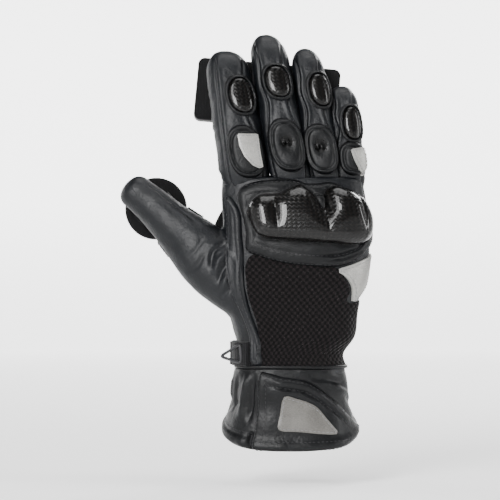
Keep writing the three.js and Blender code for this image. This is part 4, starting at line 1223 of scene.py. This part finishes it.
def turnedProfile(radius, face, edge, thick):
    corners = [
        (0, 0), (radius - 1.2, 0), (radius - 0.3, 0.35), (radius, 1.2), (radius, edge - 0.6),
        (radius - 0.25, edge + 0.3), (face + 1.4, thick - 1.0), (face + 0.7, thick - 0.35), (face - 0.6, thick),
        (face * 0.6, thick), (0, thick),
    ]
    profile = []
    for (r0, h0), (r1, h1) in zip(corners, corners[1:]):
        steps = max(2, int(math.hypot(r1 - r0, h1 - h0) / 2))
        profile += [(r0 + (r1 - r0) * t, h0 + (h1 - h0) * t) for t in np.linspace(0, 1, steps, endpoint=False)]
    return np.array(profile[1:]).T


def makePuck(part, facing):
    row = puckLook[part]
    seat, thick = seatOf(f"{part}_puck", facing)
    r, h = turnedProfile(row["radius"], row["face"], row["edge"], thick)
    angle = fullTurn(puckColumns)
    side = unit(np.cross(facing, [0, 0, 1.0]))
    other = np.cross(side, facing)
    spokes = np.cos(angle)[None, :, None] * side + np.sin(angle)[None, :, None] * other
    grid = seat + h[:, None, None] * facing + r[:, None, None] * spokes
    points, faces = closedLoft(grid[:, ::-1])
    walked = np.concatenate([np.repeat(r + 2 * h, puckColumns), [0, 0]]) / 100
    uv = stack(walked, np.zeros_like(walked))
    item = makeMesh(f"{part}_puck_plastic", points, faces, puckPlastic, uv, 28)
    addShadedBacking(item, facing, bevelHighlightPlastic)
    ready(item, "puck_plastic", f"{part}_puck")


def makeBar():
    roll, pitch, corner, e = barLook["roll"], barLook["pitch"], barLook["corner"], barLook["edge"]
    along = np.array([math.cos(roll), 0, -math.sin(roll)])
    facing = unit(np.array([-math.sin(roll) * math.sin(pitch), math.cos(pitch), -math.sin(pitch) * math.cos(roll)]))
    upward = np.cross(along, facing)
    seat, thick = seatOf("finger_bar", facing)
    turn = fullTurn(96)
    c, s = np.cos(turn), np.sin(turn)

    def ring(shrink, height):
        u = np.sign(c) * (barLook["width"] / 2 - corner) + c * (corner - shrink)
        v = np.sign(s) * (barLook["height"] / 2 - corner) + s * (corner - shrink)
        return seat + u[:, None] * along + v[:, None] * upward + height * facing

    levels = [(e, 0), (e * 0.3, e * 0.3), (0, e), (0, thick - e), (e * 0.3, thick - e * 0.3), (e, thick)]
    levels.append((barLook["face"], thick))
    points, faces = closedLoft(np.stack([ring(*level) for level in levels])[:, ::-1])
    item = makeMesh("finger_bar_plastic", points, faces, barPlastic, np.zeros((len(points), 2)), 28)
    addShadedBacking(item, facing)
    ready(item, "bar_plastic", "finger_bar")


lean = puckLook["palm"]["lean"]
makePuck("palm", np.array([-math.sin(lean), math.cos(lean), 0]))
lean = puckLook["thumb"]["lean"]
makePuck("thumb", thumbThrough * math.cos(lean) + np.cross(thumbAcross, thumbThrough) * math.sin(lean))
makeBar()
print("pucks and bar made")


# Palm side: gathered elastic, wrist strap, thumb strap, pads under the bar

elasticLook = {"low": 48.0, "high": 68.5, "half": 34.5, "pitch": 5.2, "ruffle": 2.5, "threads": (7.0, 14.0)}


def roundedBox(u0, u1, v0, v1, corner):
    middles = (
        (u1 - corner, v1 - corner, 0), (u0 + corner, v1 - corner, 90),
        (u0 + corner, v0 + corner, 180), (u1 - corner, v0 + corner, 270),
    )
    out = [
        (cu + corner * math.cos(t), cv + corner * math.sin(t))
        for cu, cv, start in middles for t in np.radians(start + np.linspace(0, 90, 7))
    ]
    dense = []
    for a, b in zip(out, out[1:] + out[:1]):
        steps = max(1, int(math.dist(a, b) / 1.5))
        dense += [(a[0] + (b[0] - a[0]) * t / steps, a[1] + (b[1] - a[1]) * t / steps) for t in range(steps)]
    return np.array(dense)


def elasticHeight(distance, u, v):
    # gathers: uneven folds that pinch at the rows of elastic thread
    level = 0 * u
    sway = 0.5 * np.sin(v / 7.0 + u / 9) + 0.7 * flatRipple(u, v, 9, 62, 8)
    draw = ripple(stack(u, level, level), 12, 61, 6)
    gather = 0.5 + 0.5 * np.cos(2 * math.pi * (u + sway + 1.1 * draw) / elasticLook["pitch"])
    rows = sum(bump(v - (elasticLook["low"] + k), 1.2) for k in elasticLook["threads"])
    full = 0.7 + 0.4 * clamp(np.abs(u) / elasticLook["half"]) + 0.35 * flatRipple(u, v, 11, 63, 8)
    pinched = (1 - 0.45 * clamp(rows)) * np.clip(distance / 2.4, 0.1, 1)
    return 0.9 + full * elasticLook["ruffle"] * gather ** 0.8 * pinched


elasticFlat = roundedBox(-elasticLook["half"], elasticLook["half"], elasticLook["low"], elasticLook["high"], 2.5)
lay("wrist_elastic", "elastic", "wrist_elastic_gathers", elasticFlat, handPalm,
    elasticHeight, 0.45, gloveLeather, palm=True)

strapFlat = smoothClosed(np.array([
    (-19, 40.5), (0, 41.5), (20, 40.8), (35, 39.5), (36, 32), (34.5, 26), (15, 24.5), (0, 24), (-16, 24.5),
    (-19.5, 32),
]), 6)


def strapHeight(distance, u, v):
    # a turned edge all round, slack between, and the free end curled up a little
    slack = 0.5 * flatRipple(u, v, 15, 71) + 0.15 * flatRipple(u, v, 6, 72)
    end = clamp((strapFlat[:, 0].min() + 5 - u) / 5)
    turnedEdge = 1.3 * rounded(distance, 1.4) - 0.7 * bump(distance - 2.6, 0.7)
    return 1.0 + turnedEdge + slack * clamp(distance / 3) + 1.3 * end


lay("palm_wrist_strap", "glove_leather", "palm_wrist_strap_leather", strapFlat, cuffPalm,
    strapHeight, 0.6, cuffLeather, palm=True)

thumbStrapFlat = roundedBox(-19.5, 19.5, 0.39 * glove["thumbLength"], 0.54 * glove["thumbLength"], 1.5)
thumbStrapHeight = rolled(0.5, 1.6, 0.9)
lay("thumb_strap", "webbing", "thumb_strap_webbing", thumbStrapFlat, thumbPalm,
    thumbStrapHeight, 0.7, webbing, palm=True)

# nodes whose form is right as it is get the finish alone
for name in ("palm_hook_pad", "thumb_hook_pad", "index_bar_pad", "middle_bar_pad", "little_bar_pad"):
    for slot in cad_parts[name].material_slots:
        slot.link = "OBJECT"
        slot.material = hookPad
print("palm side made")


# Cords, welts and the pull loop

def tube(name, path, radius, material, sides):
    tangent = unit(np.roll(path, -1, axis=0) - np.roll(path, 1, axis=0))
    frames = [unit(np.cross(tangent[0], [0.31, 0.84, 0.45]))]
    for t in tangent[1:]:
        frames.append(unit(frames[-1] - t * (frames[-1] @ t)))
    first = np.array(frames)
    # the twist that is left is spread over the whole length
    left = math.atan2(first[-1] @ np.cross(tangent[0], first[0]), first[-1] @ first[0])
    turn = -left * np.linspace(0, 1, len(path))[:, None]
    first = first * np.cos(turn) + np.cross(tangent, first) * np.sin(turn)
    second = np.cross(tangent, first)
    angle = fullTurn(sides)
    spokes = np.cos(angle)[None, :, None] * first[:, None] + np.sin(angle)[None, :, None] * second[:, None]
    rings = path[:, None] + radius * spokes
    return makeMesh(name, rings.reshape(-1, 3), ringFaces(len(path), sides), material, None, 0)


def arcAt(corner, before, after, cut, steps=7):
    a, b = (corner + unit(end - corner) * cut for end in (before, after))
    t = np.linspace(0, 1, steps)[:, None]
    return (1 - t) ** 2 * a + 2 * t * (1 - t) * corner + t ** 2 * b


# corners of the loop from the wrist's middle, as shares of the hand's half width, half depth and length
loopShare = np.array([(-1.007, -0.358, 0.0638), (-0.7415, -0.823, 0.131), (-0.7235, -0.823, 0.0302)])
loopScale = np.array([glove["handHalfWidth"], glove["handHalfDepth"], glove["handLength"]])
loopCorners = loopShare * loopScale + np.array([glove["handShift"], glove["wristBack"], wristZ])
loopPath = np.vstack([arcAt(loopCorners[i], loopCorners[i - 1], loopCorners[(i + 1) % 3], 3.0) for i in range(3)])
ready(tube("wrist_pull_loop_cord", loopPath, 1.0, cord, 12), "loop_cord", "wrist_pull_loop")

# the tab's ends, as shares of the mouth's half width and of the cuff's length
tabX = handShare((np.array([-0.86, -0.57]) * glove["mouthHalfWidth"] - 1) / (0.72 * glove["handHalfWidth"]))
tabFlat = roundedBox(tabX[0], tabX[1], 1.04 * glove["cuffLength"], 1.43 * glove["cuffLength"], 1.6)
tabSeam = tabX[0] + 8.6


def tabHeight(distance, u, v):
    # webbing folded over the loop: two layers, pinched by a bar of stitches beside the cord
    folded = 2.4 * rounded(distance, 1.0) + 2.0 * bump(u - tabX[0] - 3.2, 3.4)
    return 0.6 + folded - 0.9 * bump(u - tabSeam, 0.8)


lay("wrist_loop_tab", "webbing", "wrist_loop_tab_webbing", tabFlat, handLayer, tabHeight, 0.45, webbing)


def around(surface, at, lift, count):
    turn = fullTurn(count)
    return surface(turn, np.full(count, at), np.full(count, lift))


# the welt takes the darker pad leather, partly as painted shade along the top of the cuff
ready(tube("wrist_seam_welt", around(handSurface, 0.012, 0.5, 200), 1.2, padLeather, 10), "glove_leather")
print("cords made")


# Stitches: short thread pieces set out along seam lines by Geometry Nodes

stitchLook = {"pitch": 2.9, "finePitch": 2.4, "barPitch": 1.6, "long": 2.0, "thick": 0.42}
cuffSeamLook = {"x": (32.0, 35.2), "halfWidth": 43.0, "low": 9, "high": 41, "count": 40}


def stitchTree():
    tree = bpy.data.node_groups.new("stitches", "GeometryNodeTree")
    inputs = {"Geometry": "Geometry", "Pitch": "Float", "Long": "Float", "Thick": "Float", "Thread": "Material"}
    for name, kind in inputs.items():
        tree.interface.new_socket(name, in_out="INPUT", socket_type=f"NodeSocket{kind}")
    tree.interface.new_socket("Geometry", in_out="OUTPUT", socket_type="NodeSocketGeometry")

    def add(kind, settings=None, **links):
        return addNode(tree, kind, settings, links).outputs[0]

    given = addNode(tree, "NodeGroupInput").outputs
    line = add("GeometryNodeMeshToCurve", Mesh=given["Geometry"])
    even = add("GeometryNodeResampleCurve", {"mode": "LENGTH"}, Curve=line, Length=given["Pitch"])
    aligned = add("FunctionNodeAlignRotationToVector", {"axis": "X"}, Vector=add("GeometryNodeInputTangent"))
    ball = add("GeometryNodeMeshIcoSphere", {"Radius": 1.0, "Subdivisions": 2})
    halfLong, halfThick = (mathNode(tree, "MULTIPLY", given[name], 0.5) for name in ("Long", "Thick"))
    size = add("ShaderNodeCombineXYZ", X=halfLong, Y=halfThick, Z=halfThick)
    placed = add("GeometryNodeInstanceOnPoints", Points=even, Instance=ball, Rotation=aligned, Scale=size)
    real = add("GeometryNodeRealizeInstances", Geometry=placed)
    painted = add("GeometryNodeSetMaterial", Geometry=real, Material=given["Thread"])
    addNode(tree, "NodeGroupOutput", None, {"Geometry": painted})
    return tree


stitches = stitchTree()


def sew(name, paths, material=thread, pitch=stitchLook["pitch"], slotName="glove_leather"):
    # paths: lists of points in millimetres, each with a flag that says whether it is closed
    points, edges = [], []
    for path, closed in paths:
        first = len(points)
        points += (np.asarray(path) * metre).tolist()
        edges += [(first + i, first + i + 1) for i in range(len(path) - 1)]
        if closed:
            edges.append((first + len(path) - 1, first))
    mesh = bpy.data.meshes.new(name + "_line")
    mesh.from_pydata(points, edges, [])
    line = addObject(name, mesh)
    modifier = line.modifiers.new("stitches", "NODES")
    modifier.node_group = stitches
    values = {
        "Pitch": pitch * metre, "Long": stitchLook["long"] * metre, "Thick": stitchLook["thick"] * metre,
        "Thread": material,
    }
    for item in stitches.interface.items_tree:
        if item.in_out == "INPUT" and item.name in values:
            modifier[item.identifier] = values[item.name]
    sewn = evaluated(line, name)
    sewn.shade_smooth()
    ready(addObject(name, sewn), slotName)


def inset(outline, distance, count=400):
    # the outline moved inwards, at even steps
    closed = closedPath(outline)
    walked = walkedAlong(closed)
    even = np.linspace(0, walked[-1], count, endpoint=False)
    p = np.stack([np.interp(even, walked, closed[:, k]) for k in (0, 1)], axis=-1)
    tangent = unit(np.roll(p, -3, axis=0) - np.roll(p, 3, axis=0))
    normal = stack(-tangent[:, 1], tangent[:, 0])
    area = np.sum(p[:, 0] * np.roll(p[:, 1], -1) - np.roll(p[:, 0], -1) * p[:, 1])
    moved = p + normal * distance * (1 if area > 0 else -1)
    gap = toOutline(moved, outline)
    return moved[insideOutline(moved, outline) & (gap > distance * 0.8)]


def seams(outline, surface, height, *distances):
    lines = []
    for distance in distances:
        line = inset(outline, distance)
        above = height(toOutline(line, outline), line[:, 0], line[:, 1]) + 0.12
        lines.append((surface(line[:, 0], line[:, 1], above), True))
    return lines


def fingerSeams(name):
    at = np.linspace(0.02, 0.93, 90)
    lines = []
    for side in (-1, 1):
        share = panelShare(name, side, at)
        turn = back + np.sign(share) * np.arcsin(np.clip(np.abs(share), 0, 0.995) ** (squareness["finger"] / 2))
        lines.append((fingerForms[name](turn, at, 0.35 - fingerLook["seamDepth"]), False))
    return lines


def cuffSideSeam(x):
    seam = cuffSeamLook
    turn = np.full(seam["count"], math.acos(x / seam["halfWidth"]))
    at = cuffAt(turn, np.linspace(seam["low"], seam["high"], seam["count"]))
    return cuffSurface(turn, at, np.full(seam["count"], 0.5)), False


sew("strip_stitches", seams(stripFlat, handLayer, stripHeight, 1.7))
sew("wedge_stitches", seams(wedgeFlat, handLayer, wedgeHeight, 1.6), paleThread)
sew("flap_stitches", seams(flapFlat, cuffLayer, flapHeight, 1.9, 7.2))
sew("flap_patch_stitches", seams(flapPatchFlat, cuffLayer, flapPatchHeight, 1.5), paleThread)
sew("surround_stitches", seams(surroundFlat, handLayer, surroundHeight, 1.6, 7.6))
sew("finger_stitches", [line for name in fingers for line in fingerSeams(name)])
sew("hem_stitches", [(around(cuffSurface, 0.215, 0.25, 260), True)])
sew("cuff_side_stitches", [cuffSideSeam(x) for x in cuffSeamLook["x"]])
for name in patchShapes:
    lines = seams(patchFlat(name), fingerLayer(name), patchHeight(name), 1.2)
    sew(f"{name}_patch_stitches", lines, paleThread, stitchLook["finePitch"])
tabLine = handLayer(np.full(20, tabSeam), np.linspace(1.07, 1.4, 20) * glove["cuffLength"], np.full(20, 2.5))
sew("tab_stitches", [(tabLine, False)], thread, stitchLook["barPitch"])
sew("thumb_strap_stitches", seams(thumbStrapFlat, thumbPalm, thumbStrapHeight, 1.6), slotName="webbing")
print("stitches made")


# Studio

# the paper in millimetres: its floor, the radii of its flat part, the bend and the top of the wall
paper = {"floor": -34.0, "middle": 1400, "flat": 2400, "bend": 500, "top": 1250, "around": 72}
# lamps in metres and watts, all turned to one point of the glove
lampTarget = (0, 0, 0.13)
lamps = {
    "key": {"place": (-0.75, -1.25, 0.95), "size": (0.42, 1.0), "power": 21},
    "glint": {"place": (-0.42, -1.15, 0.62), "size": (0.3, 0.36), "power": 13},
    "side": {"place": (1.45, -0.35, 0.4), "size": (0.16, 1.1), "power": 12},
    "top": {"place": (0.1, 0.0, 1.7), "size": (1.1, 1.1), "power": 20},
    "palmKey": {"place": (0.75, 1.25, 1.0), "size": (0.45, 0.45), "power": 13},
    "palmSide": {"place": (-1.25, 0.8, 0.4), "size": (0.16, 1.1), "power": 7},
}
skyStrength = 0.12
# metres: how far off the camera stands, the width of what it sees and the middle of its view
view = {"distance": 1.8, "width": 0.335, "x": -0.0266, "z": 0.122}


def makeLamp(name, row):
    lamp = bpy.data.lights.new(name, "AREA")
    lamp.shape = "RECTANGLE"
    lamp.size, lamp.size_y = row["size"]
    lamp.energy = row["power"]
    item = addObject(name, lamp)
    item.location = row["place"]
    item.rotation_euler = (Vector(lampTarget) - Vector(row["place"])).to_track_quat("-Z", "Y").to_euler()


def paperMaterial():
    # white paper that glows a little, most of all high up and straight behind the glove
    material, tree, shader = startMaterial("studioPaper", {
        "Base Color": hexColor("#f4f4f4"), "Roughness": 0.9, "Specular IOR Level": 0.1,
        "Emission Color": (1, 1, 1, 1),
    })

    def mapped(source, low, high, atLow, atHigh, kind="SMOOTHSTEP"):
        settings = {"From Min": low, "From Max": high, "To Min": atLow, "To Max": atHigh, "interpolation_type": kind}
        return addNode(tree, "ShaderNodeMapRange", settings, {"Value": source}).outputs["Result"]

    place = apart(tree, objectSpace(tree))
    high = mapped(place["Z"], paper["floor"] * metre, 0.2, 0.6, 1.0, "LINEAR")
    behind = mapped(place["Y"], -0.4, 2.4, 0.0, 2.8)
    middle = mapped(mathNode(tree, "ABSOLUTE", place["X"]), 0.5, 1.6, 1.0, 0.0)
    spot = mathNode(tree, "ADD", mathNode(tree, "MULTIPLY", behind, middle), 0.42)
    tree.links.new(mathNode(tree, "MULTIPLY", high, spot), shader.inputs["Emission Strength"])
    return material


def makePaper():
    # a round paper floor that curves up to a low wall, the same from every side
    floor, flat, bend, count = paper["floor"], paper["flat"], paper["bend"], paper["around"]
    profile = [(paper["middle"], floor), (flat, floor)]
    profile += [
        (flat + bend * math.sin(t), floor + bend * (1 - math.cos(t))) for t in np.linspace(0.1, math.pi / 2, 12)
    ]
    profile.append((flat + bend, paper["top"]))
    angle = fullTurn(count)
    rows = [stack(r * np.cos(angle), r * np.sin(angle), np.full(count, z)) for r, z in profile]
    points = np.vstack([np.array([[0, 0, floor]])] + rows)
    fan = [(0, 1 + i, 1 + (i + 1) % count) for i in range(count)]
    faces = fan + [tuple(f)[::-1] for f in gridFaces(len(rows), count, 1)]
    makeMesh("studio_bowl", points, faces, paperMaterial(), None, 0, False)


def makeSky():
    scene = bpy.context.scene
    scene.world = scene.world or bpy.data.worlds.new("studio")
    scene.world.use_nodes = True
    sky = scene.world.node_tree.nodes["Background"]
    sky.inputs["Color"].default_value = (1, 1, 1, 1)
    sky.inputs["Strength"].default_value = skyStrength


def makeCamera():
    lens = bpy.data.cameras.new("camera")
    lens.lens = lens.sensor_width * view["distance"] / view["width"]
    item = addObject("camera", lens)
    item.location = (view["x"], -view["distance"], view["z"])
    item.rotation_euler = (math.radians(90), 0, 0)
    bpy.context.scene.camera = item


makePaper()
makeSky()
for name, row in lamps.items():
    makeLamp(name, row)
makeCamera()
